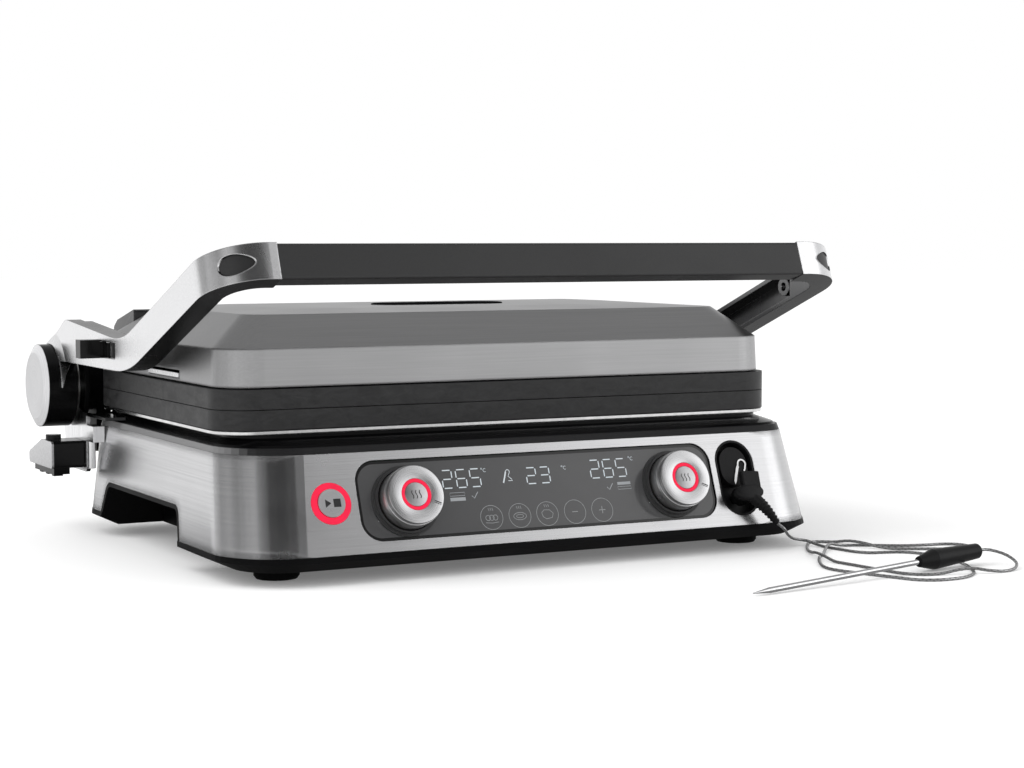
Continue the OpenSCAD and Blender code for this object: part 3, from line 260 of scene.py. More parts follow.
def newGroup(name, inputs, outputs):
    # a shader group with named sockets; inputs are (name, kind, default)
    group = bpy.data.node_groups.new(name, "ShaderNodeTree")
    for label, kind, default in inputs:
        socket = group.interface.new_socket(name=label, in_out="INPUT", socket_type="NodeSocket" + kind)
        if default is not None:
            socket.default_value = default
    for label, kind in outputs:
        group.interface.new_socket(name=label, in_out="OUTPUT", socket_type="NodeSocket" + kind)
    return group, group.nodes.new("NodeGroupInput"), group.nodes.new("NodeGroupOutput")


def addNode(tree, kind, values=None, **settings):
    # one node with its settings and unlinked socket values
    node = tree.nodes.new("ShaderNode" + kind)
    for key, value in settings.items():
        setattr(node, key, value)
    for key, value in (values or {}).items():
        node.inputs[key].default_value = value
    return node


def join(tree, source, target):
    tree.links.new(source, target)


def wire(tree, *links):
    # each link is a node and its output, then a node and its input
    for source, output, target, socket in links:
        join(tree, source.outputs[output], target.inputs[socket])


def calc(tree, operation, values=None):
    return addNode(tree, "Math", values, operation=operation)


def vectorCalc(tree, operation, values=None):
    return addNode(tree, "VectorMath", values, operation=operation)


def mapRange(tree, low, high, toLow=0.0, toHigh=1.0, **settings):
    # a node that takes low..high to toLow..toHigh
    return addNode(tree, "MapRange", {"From Min": low, "From Max": high, "To Min": toLow, "To Max": toHigh},
                   **settings)


# Rounded edges: the normal that a small round on every edge would have, and a mask of those edges
roundEdges, inside, outside = newGroup("roundEdges", [("Radius", "Float", 0.0004)],
                                       [("Normal", "Vector"), ("Edge", "Float")])
bevel = addNode(roundEdges, "Bevel", samples=4)
flatNormal = addNode(roundEdges, "NewGeometry")
compare = vectorCalc(roundEdges, "DOT_PRODUCT")
edgeRange = mapRange(roundEdges, 0.995, 0.8)
wire(roundEdges,
    (inside, "Radius", bevel, "Radius"), (bevel, "Normal", compare, 0), (flatNormal, "Normal", compare, 1),
    (compare, "Value", edgeRange, "Value"), (bevel, "Normal", outside, "Normal"),
    (edgeRange, "Result", outside, "Edge"))

# Brushed metal: noise drawn out along the brushing by a stretch vector
brushLines, inside, outside = newGroup(
    "brushLines", [("Stretch", "Vector", (4, 900, 900)), ("Depth", "Float", 0.2), ("Normal", "Vector", None)],
    [("Normal", "Vector"), ("Tone", "Float")])
place = addNode(brushLines, "TexCoord")
stretch = vectorCalc(brushLines, "MULTIPLY")
fine = addNode(brushLines, "TexNoise", {"Scale": 1.0, "Detail": 3.0, "Roughness": 0.65})
wide = addNode(brushLines, "TexNoise", {"Scale": 0.3, "Detail": 2.0, "Roughness": 0.5})
mixTone = calc(brushLines, "MULTIPLY", {1: 0.88})
addWide = calc(brushLines, "MULTIPLY_ADD", {1: 0.12})
bump = addNode(brushLines, "Bump", {"Distance": 0.00004})
wire(brushLines,
    (place, "Object", stretch, 0), (inside, "Stretch", stretch, 1), (stretch, "Vector", fine, "Vector"),
    (stretch, "Vector", wide, "Vector"), (fine, "Fac", mixTone, 0), (wide, "Fac", addWide, 0),
    (mixTone, "Value", addWide, 2), (addWide, "Value", bump, "Height"), (inside, "Depth", bump, "Strength"),
    (inside, "Normal", bump, "Normal"), (bump, "Normal", outside, "Normal"),
    (addWide, "Value", outside, "Tone"))

# Turned metal: rings about an axis that a mapping brings to Z, by the noise of the radius
turnedRings, inside, outside = newGroup(
    "turnedRings", [("Place", "Vector", None), ("Rings", "Float", 3000.0), ("Depth", "Float", 0.2),
                    ("Normal", "Vector", None)],
    [("Normal", "Vector"), ("Tone", "Float")])
flatten = vectorCalc(turnedRings, "MULTIPLY", {1: (1, 1, 0)})
reach = vectorCalc(turnedRings, "LENGTH")
scaleUp = calc(turnedRings, "MULTIPLY")
rings = addNode(turnedRings, "TexNoise", {"Scale": 1.0, "Detail": 2.0, "Roughness": 0.6}, noise_dimensions="1D")
bump = addNode(turnedRings, "Bump", {"Distance": 0.00003})
wire(turnedRings,
    (inside, "Place", flatten, 0), (flatten, "Vector", reach, 0), (reach, "Value", scaleUp, 0),
    (inside, "Rings", scaleUp, 1), (scaleUp, "Value", rings, "W"), (rings, "Fac", bump, "Height"),
    (inside, "Depth", bump, "Strength"), (inside, "Normal", bump, "Normal"),
    (bump, "Normal", outside, "Normal"), (rings, "Fac", outside, "Tone"))

# Moulded or cast grain: fine noise as height and tone
grain, inside, outside = newGroup(
    "grain", [("Size", "Float", 900.0), ("Depth", "Float", 0.15), ("Normal", "Vector", None)],
    [("Normal", "Vector"), ("Tone", "Float")])
place = addNode(grain, "TexCoord")
speck = addNode(grain, "TexNoise", {"Detail": 4.0, "Roughness": 0.6})
bump = addNode(grain, "Bump", {"Distance": 0.0001})
wire(grain,
    (place, "Object", speck, "Vector"), (inside, "Size", speck, "Scale"), (speck, "Fac", bump, "Height"),
    (inside, "Depth", bump, "Strength"), (inside, "Normal", bump, "Normal"),
    (bump, "Normal", outside, "Normal"), (speck, "Fac", outside, "Tone"))

# Handling marks: slow clouds between two values, for roughness
clouds, inside, outside = newGroup(
    "clouds", [("Size", "Float", 14.0), ("Low", "Float", 0.3), ("High", "Float", 0.4)], [("Value", "Float")])
place = addNode(clouds, "TexCoord")
cloud = addNode(clouds, "TexNoise", {"Detail": 5.0, "Roughness": 0.6, "Distortion": 0.4})
spread = mapRange(clouds, 0.3, 0.7)
wire(clouds,
    (place, "Object", cloud, "Vector"), (inside, "Size", cloud, "Scale"), (cloud, "Fac", spread, "Value"),
    (inside, "Low", spread, "To Min"), (inside, "High", spread, "To Max"), (spread, "Result", outside, "Value"))


def useGroup(tree, group, **values):
    node = tree.nodes.new("ShaderNodeGroup")
    node.node_tree = group
    for key, value in values.items():
        node.inputs[key].default_value = value
    return node


def startMaterial(name, **values):
    # a material with its Principled shader; values are its plain sockets, with _ for a space
    material = bpy.data.materials.new(name)
    material.use_nodes = True
    tree = material.node_tree
    shader = tree.nodes["Principled BSDF"]
    for key, value in values.items():
        shader.inputs[key.replace("_", " ")].default_value = value
    return material, tree, shader


def blendColours(tree, factor, first, second):
    # a colour between two, by a factor socket
    mix = addNode(tree, "Mix", data_type="RGBA")
    join(tree, factor, mix.inputs["Factor"])
    for socket, colour in ((6, first), (7, second)):
        if isinstance(colour, bpy.types.NodeSocket):
            join(tree, colour, mix.inputs[socket])
        else:
            mix.inputs[socket].default_value = (*colour, 1)
    return mix.outputs[2]


def paint(tree, shader, factor, first, second):
    # the base colour, from first to second by the factor
    join(tree, blendColours(tree, factor, first, second), shader.inputs["Base Color"])


def toneRange(tree, source, low, high, fromLow=0.35, fromHigh=0.65):
    # a tone spread between two values
    spread = mapRange(tree, fromLow, fromHigh, low, high)
    join(tree, source, spread.inputs["Value"])
    return spread.outputs["Result"]


def plasticFinish(name, dark, light, edge, roughLow, roughHigh, size, depth, round=0.0004, **values):
    # moulded plastic: two near tones by the grain, paler edges that are partly wear and partly a painted
    # highlight, cloudy gloss, grained normal
    material, tree, shader = startMaterial(name, **values)
    edges = useGroup(tree, roundEdges, Radius=round)
    skin = useGroup(tree, grain, Size=size, Depth=depth)
    gloss = useGroup(tree, clouds, Low=roughLow, High=roughHigh)
    wire(tree, (edges, "Normal", skin, "Normal"))
    body = blendColours(tree, toneRange(tree, skin.outputs["Tone"], 0, 1), dark, light)
    # the edges are painted paler: partly wear, partly a painted highlight
    paint(tree, shader, edges.outputs["Edge"], body, edge)
    wire(tree, (gloss, "Value", shader, "Roughness"), (skin, "Normal", shader, "Normal"))
    return material


def brushedFinish(name, dark, light, roughLow, roughHigh, stretch, depth, round=0.0003, **values):
    # brushed metal: two near tones by the brushing, brushed normal, cloudy gloss
    material, tree, shader = startMaterial(name, Metallic=1.0, **values)
    edges = useGroup(tree, roundEdges, Radius=round)
    lines = useGroup(tree, brushLines, Stretch=stretch, Depth=depth)
    gloss = useGroup(tree, clouds, Low=roughLow, High=roughHigh)
    wire(tree, (edges, "Normal", lines, "Normal"))
    paint(tree, shader, toneRange(tree, lines.outputs["Tone"], 0, 1), dark, light)
    wire(tree, (gloss, "Value", shader, "Roughness"), (lines, "Normal", shader, "Normal"))
    return material


def turnedFinish(name, dark, light, rough, centre, axis, rings, depth, round=0.0003):
    # turned metal: rings about an axis through centre, by a mapping that brings the axis to Z
    material, tree, shader = startMaterial(name, Metallic=1.0)
    turn = Vector(axis).rotation_difference(Vector((0, 0, 1))).to_matrix()
    place = addNode(tree, "TexCoord")
    bring = addNode(tree, "Mapping", {"Location": -(turn @ Vector(centre)), "Rotation": turn.to_euler()})
    edges = useGroup(tree, roundEdges, Radius=round)
    lines = useGroup(tree, turnedRings, Rings=rings, Depth=depth)
    gloss = useGroup(tree, clouds, Size=60.0, Low=rough - 0.03, High=rough + 0.04)
    wire(tree,
        (place, "Object", bring, "Vector"), (bring, "Vector", lines, "Place"),
        (edges, "Normal", lines, "Normal"))
    paint(tree, shader, toneRange(tree, lines.outputs["Tone"], 0, 1), dark, light)
    wire(tree, (gloss, "Value", shader, "Roughness"), (lines, "Normal", shader, "Normal"))
    return material


def softenCorners(material, start, full, small, large):
    # the round of the edges grows from small to large where the place lies further out than start
    tree = material.node_tree
    place = addNode(tree, "TexCoord")
    split = addNode(tree, "SeparateXYZ")
    reach = calc(tree, "ABSOLUTE")
    grow = mapRange(tree, start, full, small, large)
    wire(tree, (place, "Object", split, "Vector"), (split, "X", reach, 0), (reach, "Value", grow, "Value"))
    for node in tree.nodes:
        if node.type == "GROUP" and node.node_tree == roundEdges:
            wire(tree, (grow, "Result", node, "Radius"))


def shadeByFacing(material, level, innerShade):
    # painted shade: faces that look up or down are painted one darker tone, and those that look at the middle
    # plane another
    tree = material.node_tree
    shader = tree.nodes["Principled BSDF"]
    place = addNode(tree, "TexCoord")
    normal = addNode(tree, "SeparateXYZ")
    spot = addNode(tree, "SeparateXYZ")
    upright = calc(tree, "ABSOLUTE")
    side = calc(tree, "SIGN")
    facing = calc(tree, "MULTIPLY")
    levelShadeMask = mapRange(tree, 0.45, 0.6, interpolation_type="SMOOTHSTEP")
    innerShadeMask = mapRange(tree, -0.5, -0.75, interpolation_type="SMOOTHSTEP")
    wire(tree,
        (place, "Normal", normal, "Vector"), (place, "Object", spot, "Vector"), (normal, "Z", upright, 0),
        (spot, "X", side, 0), (normal, "X", facing, 0), (side, "Value", facing, 1),
        (upright, "Value", levelShadeMask, "Value"), (facing, "Value", innerShadeMask, "Value"))
    tone = blendColours(
        tree, levelShadeMask.outputs["Result"], shader.inputs["Base Color"].links[0].from_socket, level)
    paint(tree, shader, innerShadeMask.outputs["Result"], tone, innerShade)


def dress(material, *names):
    # CAD nodes or pieces take a material
    for name in names:
        data = (cadNodes[name] if isinstance(name, str) else name).data
        data.materials.clear()
        data.materials.append(material)


print("effects and finishes ready")

# Finishes of the CAD's own shapes

blackMoulding = plasticFinish(
    "blackMoulding", (0.003, 0.003, 0.0033), (0.006, 0.006, 0.0063), (0.014, 0.014, 0.0145), 0.34, 0.46, 1500.0,
    0.10, IOR=1.14)
dress(blackMoulding, "base_tub", "rear_cover", "drip_tray", "cord_gland", "lid_frame", "hinge_shrouds")

inlayBlack = plasticFinish(
    "inlayBlack", (0.004, 0.004, 0.0045), (0.008, 0.008, 0.0085), (0.012, 0.012, 0.012), 0.7, 0.8, 1800.0, 0.12,
    Specular_IOR_Level=0.0)


glossBlack = plasticFinish(
    "glossBlack", (0.003, 0.003, 0.0032), (0.005, 0.005, 0.0052), (0.02, 0.02, 0.021), 0.13, 0.22, 1200.0, 0.02,
    Specular_IOR_Level=0.22)
dress(glossBlack, "hub_drums", "left_release_lever", "right_release_lever", "left_slider", "right_slider")

rubber = plasticFinish(
    "footRubber", (0.003, 0.003, 0.003), (0.007, 0.007, 0.007), (0.012, 0.012, 0.012), 0.6, 0.75, 2500.0, 0.2,
    Specular_IOR_Level=0.1)
dress(rubber, "rubber_feet")

# The deck: a satin grey trim strip below, gloss black above it, by height
deckFinish = {"trimTop": 0.0826, "trim": (0.015, 0.015, 0.0155), "trimPale": (0.022, 0.022, 0.023),
              "trimSideHighlight": (0.19, 0.19, 0.192), "ledge": (0.002, 0.002, 0.0022)}
material, tree, shader = startMaterial("deckGloss", Specular_IOR_Level=0.11)
place = addNode(tree, "TexCoord")
split = addNode(tree, "SeparateXYZ")
above = mapRange(tree, deckFinish["trimTop"] - 0.0002, deckFinish["trimTop"] + 0.0002)
edges = useGroup(tree, roundEdges, Radius=0.0007)
skin = useGroup(tree, grain, Size=1400.0, Depth=0.04)
roughMix = mapRange(tree, 0, 1, 0.34, 0.16)
wire(tree, (place, "Object", split, "Vector"), (split, "Z", above, "Value"), (edges, "Normal", skin, "Normal"))
trimTone = blendColours(
    tree, toneRange(tree, skin.outputs["Tone"], 0, 1), deckFinish["trim"], deckFinish["trimPale"])
# painted highlight: the strip is painted much paler where it looks sideways
facing = addNode(tree, "SeparateXYZ")
sideways = calc(tree, "ABSOLUTE")
sideHighlightMask = mapRange(tree, 0.55, 1.0, interpolation_type="SMOOTHSTEP")
wire(tree, (place, "Normal", facing, "Vector"), (facing, "X", sideways, 0),
     (sideways, "Value", sideHighlightMask, "Value"))
trimTone = blendColours(tree, sideHighlightMask.outputs["Result"], trimTone, deckFinish["trimSideHighlight"])
paint(tree, shader, above.outputs["Result"], trimTone, deckFinish["ledge"])
wire(tree,
    (above, "Result", roughMix, "Value"), (roughMix, "Result", shader, "Roughness"),
    (skin, "Normal", shader, "Normal"))
dress(material, "deck")

skirtSteel = brushedFinish(
    "skirtSteel", (0.62, 0.62, 0.63), (0.69, 0.69, 0.70), 0.23, 0.28, (6, 6, 1300), 0.03, 0.0005)
softenCorners(skirtSteel, 0.165, 0.180, 0.0004, 0.0065)
dress(skirtSteel, "steel_skirt")

armMetal = brushedFinish(
    "armSatin", (0.80, 0.80, 0.81), (0.88, 0.88, 0.89), 0.24, 0.30, (700, 700, 700), 0.015, 0.0008)
# painted shade on the arms: tops, undersides and inner faces painted darker
shadeByFacing(armMetal, (0.035, 0.035, 0.036), (0.20, 0.20, 0.202))
dress(armMetal, "left_arm", "right_arm")

postMetal = brushedFinish(
    "postPlating", (0.78, 0.78, 0.79), (0.90, 0.90, 0.91), 0.16, 0.24, (500, 500, 8), 0.05, 0.0004)
# painted shade on the posts: tops, undersides and inner faces painted darker
shadeByFacing(postMetal, (0.055, 0.055, 0.056), (0.5, 0.5, 0.5))
# the tab in front of each post is blackened: a mask of the places in front of it and above the skirt
postTab = {"front": 0.1156, "foot": 0.0835, "colour": (0.035, 0.035, 0.036)}
tree = postMetal.node_tree
shader = tree.nodes["Principled BSDF"]
place = addNode(tree, "TexCoord")
split = addNode(tree, "SeparateXYZ")
before = calc(tree, "LESS_THAN", {1: postTab["front"]})
above = calc(tree, "GREATER_THAN", {1: postTab["foot"]})
tabMask = calc(tree, "MULTIPLY")
wire(tree,
    (place, "Object", split, "Vector"), (split, "Y", before, 0), (split, "Z", above, 0),
    (before, "Value", tabMask, 0), (above, "Value", tabMask, 1))
paint(
    tree, shader, tabMask.outputs["Value"], shader.inputs["Base Color"].links[0].from_socket, postTab["colour"])
dress(postMetal, "left_hinge_post", "right_hinge_post")
barMetal = brushedFinish(
    "barPlating", (0.62, 0.62, 0.63), (0.76, 0.76, 0.77), 0.16, 0.24, (8, 500, 500), 0.05, 0.0004)
dress(barMetal, "plate_release_bar")

lidMetal = brushedFinish(
    "lidSatin", (0.40, 0.40, 0.405), (0.44, 0.44, 0.445), 0.34, 0.40, (12, 900, 900), 0.03, 0.0020)
dress(lidMetal, "lid_cover")

hoodPlastic = plasticFinish(
    "hoodSatin", (0.045, 0.045, 0.046), (0.060, 0.060, 0.061), (0.11, 0.11, 0.112), 0.3, 0.4, 1300.0, 0.06,
    0.0008)
dress(hoodPlastic, "lid_rear_hood")

# the hood's cheeks reach down to the lid's shoulder at both ends, each with a brow:
# x of both faces, y and z of the outline
hoodCheek = {
    "wall": {
        "across": (187.2, 188.1), "outline": [(275.4, 160.5), (275.4, 150.0), (306.1, 140.0), (306.1, 143.6)]},
    "brow": {
        "across": (176.0, 188.0), "outline": [(275.5, 160.6), (275.5, 150.0), (276.6, 150.0), (276.6, 160.6)]},
}
boxFaces = np.array([[0, 1, 2, 3], [4, 7, 6, 5], [0, 4, 5, 1], [1, 5, 6, 2], [2, 6, 7, 3], [3, 7, 4, 0]])
cheeks = []
for sign in (-1, 1):
    for part in hoodCheek.values():
        corners = [(sign * x, y, z) for x in part["across"] for y, z in part["outline"]]
        cheeks.append((toRow(corners), boxFaces))
cheekPiece = weld(makePiece("hoodCheeks", *joinParts(cheeks), smooth=False))
dress(hoodPlastic, cheekPiece)
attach(cheekPiece, "lid")

# the inlay stands a little proud of the lid, as a plate with a round edge
inlay = {"middleY": 168.0, "top": 166.3, "foot": 164.4, "straight": 70.0, "radius": 15.0, "edge": 0.5}
half = inlay["straight"] / 2
outline = np.concatenate([arc(half, 0, inlay["radius"], -90, 90, 32),
                          arc(-half, 0, inlay["radius"], 90, 270, 32)])
steps = [(0.0, inlay["foot"]), (0.0, inlay["top"] - inlay["edge"]), (-0.15, inlay["top"] - 0.15),
         (-inlay["edge"], inlay["top"])]
rims = [np.column_stack([outline * (1 + grow / inlay["radius"]) + (0, inlay["middleY"]),
                         np.full(len(outline), z)]) for grow, z in steps]
count = len(outline)
plate = makePiece(
    "lidInlayPlate", toRow(np.concatenate(rims)),
    [gridFaces(len(steps), count, closeColumns=True),
     np.arange((len(steps) - 1) * count, len(steps) * count)[None]])
dress(inlayBlack, weld(plate))
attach(plate, "lid")
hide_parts("lid_inlay")

gripPlastic = plasticFinish(
    "gripSatin", (0.018, 0.018, 0.0185), (0.025, 0.025, 0.0255), (0.05, 0.05, 0.051), 0.36, 0.46, 1800.0, 0.08,
    0.0009)
dress(gripPlastic, "grip", "corner_plugs")

capMetal = turnedFinish(
    "hubCapMetal", (0.56, 0.56, 0.57), (0.70, 0.70, 0.71), 0.3, toRow((0, 338, 104.5)), (1, 0, 0), 1600.0, 0.10,
    0.0006)
# the bevel round the cap is a pale satin: a mask of the places that do not look straight sideways
tree = capMetal.node_tree
place = addNode(tree, "TexCoord")
facing = addNode(tree, "SeparateXYZ")
sideways = calc(tree, "ABSOLUTE")
metalMask = mapRange(tree, 0.90, 0.97, 0.15, 1.0)
wire(tree, (place, "Normal", facing, "Vector"), (facing, "X", sideways, 0),
     (sideways, "Value", metalMask, "Value"))
join(tree, metalMask.outputs["Result"], tree.nodes["Principled BSDF"].inputs["Metallic"])
dress(capMetal, "hub_caps")

leverMetal = brushedFinish(
    "leverCapSatin", (0.56, 0.56, 0.57), (0.70, 0.70, 0.71), 0.26, 0.34, (600, 600, 600), 0.06, 0.0006)
dress(leverMetal, "left_lever_cap", "right_lever_cap")

# The plates: dark coat on a casting, mottled, with fine pits and faint flow marks
plateCoat = {"dark": (0.008, 0.008, 0.0085), "light": (0.030, 0.030, 0.031), "edgeWearAndHighlight": (0.055, 0.055, 0.056)}
material, tree, shader = startMaterial("plateCoat", Specular_IOR_Level=0.42)
place = addNode(tree, "TexCoord")
drawn = addNode(tree, "Mapping", {"Scale": (1.0, 1.0, 2.2), "Rotation": (0.0, 0.35, 0.0)})
mottle = addNode(tree, "TexNoise", {"Scale": 85.0, "Detail": 8.0, "Roughness": 0.68, "Distortion": 0.8})
pits = addNode(tree, "TexVoronoi", {"Scale": 900.0})
edges = useGroup(tree, roundEdges, Radius=0.0007)
skin = useGroup(tree, grain, Size=700.0, Depth=0.55)
bump = addNode(tree, "Bump", {"Strength": 0.25, "Distance": 0.0003})
wire(tree,
    (place, "Object", drawn, "Vector"), (drawn, "Vector", mottle, "Vector"), (place, "Object", pits, "Vector"),
    (edges, "Normal", bump, "Normal"), (mottle, "Fac", bump, "Height"), (bump, "Normal", skin, "Normal"))
tone = blendColours(
    tree, toneRange(tree, mottle.outputs["Fac"], 0, 1, 0.32, 0.68), plateCoat["dark"], plateCoat["light"])
# the edges are painted paler: partly wear, partly a painted highlight
paint(tree, shader, toneRange(tree, edges.outputs["Edge"], 0, 0.5, 0, 1), tone, plateCoat["edgeWearAndHighlight"])
join(tree, toneRange(tree, mottle.outputs["Fac"], 0.36, 0.52), shader.inputs["Roughness"])
wire(tree, (skin, "Normal", shader, "Normal"))
dress(material, "lower_plate", "upper_plate")

panMetal = brushedFinish(
    "panBright", (0.66, 0.66, 0.66), (0.80, 0.80, 0.80), 0.10, 0.18, (120, 120, 120), 0.05, 0.0006)
dress(panMetal, "reflector_pan")

screwMetal = brushedFinish(
    "screwZinc", (0.42, 0.42, 0.41), (0.58, 0.58, 0.56), 0.24, 0.36, (300, 300, 300), 0.05, 0.0002)
dress(screwMetal, "base_screws", "lid_screws", "hinge_pins", "lid_pins", "friction_washers")
gripScrewMetal = brushedFinish(
    "gripScrewBlued", (0.10, 0.10, 0.10), (0.17, 0.17, 0.168), 0.28, 0.36, (300, 300, 300), 0.05, 0.0003)
dress(gripScrewMetal, "grip_screws")

heaterFinish = plasticFinish(
    "heaterOxide", (0.10, 0.075, 0.055), (0.20, 0.17, 0.14), (0.26, 0.23, 0.2), 0.4, 0.55, 400.0, 0.12)
dress(heaterFinish, "lower_heater", "upper_heater")
sensorBrass = brushedFinish(
    "sensorBrass", (0.55, 0.38, 0.16), (0.70, 0.50, 0.22), 0.28, 0.36, (300, 300, 300), 0.05)
dress(sensorBrass, "lower_sensor", "upper_sensor")
boardGreen = plasticFinish(
    "boardGreen", (0.006, 0.05, 0.018), (0.012, 0.09, 0.03), (0.12, 0.14, 0.09), 0.3, 0.4, 220.0, 0.05)
dress(boardGreen, "display_board", "power_board")
encoderTin = brushedFinish(
    "encoderTin", (0.42, 0.42, 0.42), (0.56, 0.56, 0.55), 0.3, 0.4, (300, 300, 300), 0.05)
dress(encoderTin, "knob_encoders")

socketBlack = plasticFinish(
    "socketBlack", (0.007, 0.007, 0.0075), (0.013, 0.013, 0.0135), (0.035, 0.035, 0.036), 0.3, 0.42, 1500.0,
    0.06, Specular_IOR_Level=0.16)
dress(socketBlack, "probe_socket", "probe_handle")
seatGrey = plasticFinish(
    "seatGrey", (0.040, 0.040, 0.041), (0.050, 0.050, 0.051), (0.07, 0.07, 0.071), 0.3, 0.4, 1500.0, 0.04,
    Specular_IOR_Level=0.2)
dress(seatGrey, "knob_seats")

# The glass panel: grey print under clear glass, with a slow change of tone
material, tree, shader = startMaterial(
    "panelGlass", Coat_Weight=0.4, Coat_Roughness=0.05, Specular_IOR_Level=0.35)
edges = useGroup(tree, roundEdges, Radius=0.0005)
gloss = useGroup(tree, clouds, Size=18.0, Low=0.12, High=0.2)
veil = useGroup(tree, clouds, Size=7.0, Low=0.0, High=1.0)
body = blendColours(tree, veil.outputs["Value"], (0.070, 0.070, 0.072), (0.084, 0.084, 0.086))
# a black printed border: how far a place lies from the rounded rectangle's centre lines, on the leaning panel
border = {"halfWidth": 0.131, "halfHeight": 0.026, "corner": 0.014, "middleUp": 0.033, "print": 0.0021}
place = addNode(tree, "TexCoord")
across = vectorCalc(tree, "DOT_PRODUCT", {1: tuple(panelRight)})
upward = vectorCalc(tree, "DOT_PRODUCT", {1: tuple(panelUp)})
middleUp = float(np.dot(toRow(panelFoot), panelUp)) + border["middleUp"]
centred = calc(tree, "SUBTRACT", {1: middleUp})
pair = addNode(tree, "CombineXYZ")
size = vectorCalc(tree, "ABSOLUTE")
straightHalf = (border["halfWidth"] - border["corner"], border["halfHeight"] - border["corner"], 0)
beyond = vectorCalc(tree, "SUBTRACT", {1: straightHalf})
outer = vectorCalc(tree, "MAXIMUM", {1: (0, 0, 0)})
reach = vectorCalc(tree, "LENGTH")
printed = mapRange(tree, border["corner"] - border["print"] - 0.0003, border["corner"] - border["print"])
wire(tree,
    (place, "Object", across, 0), (place, "Object", upward, 0), (upward, "Value", centred, 0),
    (across, "Value", pair, "X"), (centred, "Value", pair, "Y"), (pair, "Vector", size, 0),
    (size, "Vector", beyond, 0), (beyond, "Vector", outer, 0), (outer, "Vector", reach, 0),
    (reach, "Value", printed, "Value"))
paint(tree, shader, printed.outputs["Result"], body, (0.004, 0.004, 0.0042))
wire(tree, (gloss, "Value", shader, "Roughness"), (edges, "Normal", shader, "Normal"))
dress(material, "control_glass")


def lightFinish(name, deep, pale, glow, strength):
    # a lit moulding: its colour and glow vary a little, as light does in frosted plastic
    material, tree, shader = startMaterial(
        name, Roughness=0.35, Emission_Strength=strength, Specular_IOR_Level=0.15)
    skin = useGroup(tree, grain, Size=260.0, Depth=0.03)
    veil = useGroup(tree, clouds, Size=90.0, Low=0.0, High=1.0)
    paint(tree, shader, veil.outputs["Value"], deep, pale)
    join(tree, blendColours(tree, veil.outputs["Value"], glow, pale), shader.inputs["Emission Color"])
    wire(tree, (skin, "Normal", shader, "Normal"))
    return material


redLight = lightFinish("redLight", (0.35, 0.004, 0.02), (0.50, 0.012, 0.04), (0.90, 0.02, 0.07), 0.9)
dress(redLight, "start_button_ring")

startFoot = onPanel(-149, 33, 0)
buttonMetal = turnedFinish(
    "startCapMetal", (0.5, 0.5, 0.51), (0.68, 0.68, 0.69), 0.3, startFoot, tuple(panelOut), 2600.0, 0.12)
dress(buttonMetal, "start_button")
buttonSatin = brushedFinish(
    "knobButtonSatin", (0.50, 0.50, 0.51), (0.58, 0.58, 0.59), 0.32, 0.4, (900, 900, 900), 0.03)

needleSteel = brushedFinish(
    "needleSteel", (0.70, 0.70, 0.71), (0.82, 0.82, 0.83), 0.12, 0.2, (30, 900, 900), 0.05)
dress(needleSteel, "probe_needle")

# The cable: two strands of a wire braid crossing, by the piece's own map
material, tree, shader = startMaterial("wireBraid", Metallic=0.85)
place = addNode(tree, "UVMap", uv_map="surface")
windings = []
for lean in (6.0, -6.0):
    windings.append(addNode(tree, "Mapping", {"Scale": (900.0, lean, 1.0)}))
strands = []
for i in range(2):
    strands.append(addNode(
        tree, "TexWave", {"Scale": 0.16, "Distortion": 0.0}, wave_type="BANDS", bands_direction="DIAGONAL"))
weave = calc(tree, "MAXIMUM")
bump = addNode(tree, "Bump", {"Strength": 0.7, "Distance": 0.0001})
gloss = useGroup(tree, clouds, Size=120.0, Low=0.3, High=0.42)
for socket, (wind, wave) in enumerate(zip(windings, strands)):
    wire(tree, (place, "UV", wind, "Vector"), (wind, "Vector", wave, "Vector"), (wave, "Fac", weave, socket))
wire(tree, (weave, "Value", bump, "Height"))
paint(tree, shader, weave.outputs["Value"], (0.20, 0.20, 0.202), (0.50, 0.50, 0.505))
wire(tree, (gloss, "Value", shader, "Roughness"), (bump, "Normal", shader, "Normal"))
dress(material, cable)
print("finishes on CAD nodes")

# The dials: black stepped collar, turned barrel and spun face, each a profile turned about the dial's axis

dial = {
    "across": 98.6, "up": 31.7, "sides": 160,
    "collar": [(10.2, -3.8), (19.2, -3.8), (19.2, 1.5), (19.0, 1.7), (10.2, 1.7), (10.2, -3.8)],
    "barrel": [
        (10.2, 1.75), (19.1, 1.75), (19.35, 1.9), (19.4, 2.1), (19.4, 11.6), (19.3, 11.75), (19.05, 11.85),
        (19.05, 12.15), (19.3, 12.25), (19.4, 12.4), (19.4, 13.2), (19.2, 13.5), (18.4, 13.55), (17.6, 13.55),
        (17.6, 14.6), (10.2, 14.6), (10.2, 1.75)],
    "face": [
        (10.05, 14.75), (18.2, 14.75), (18.5, 14.8), (18.68, 15.0), (18.7, 16.45), (18.62, 16.75), (18.4, 16.93),
        (18.1, 16.99), (10.4, 16.99), (10.15, 16.93), (10.05, 16.75), (10.05, 14.75)],
    "light": [(7.95, 14.7), (10.0, 14.7), (10.0, 16.6), (9.85, 16.75), (8.1, 16.75), (7.95, 16.6), (7.95, 14.7)],
    "button": [(0.0, 14.2), (7.8, 14.2), (7.8, 16.5), (7.65, 16.7), (7.3, 16.8), (0.0, 16.8)],
}

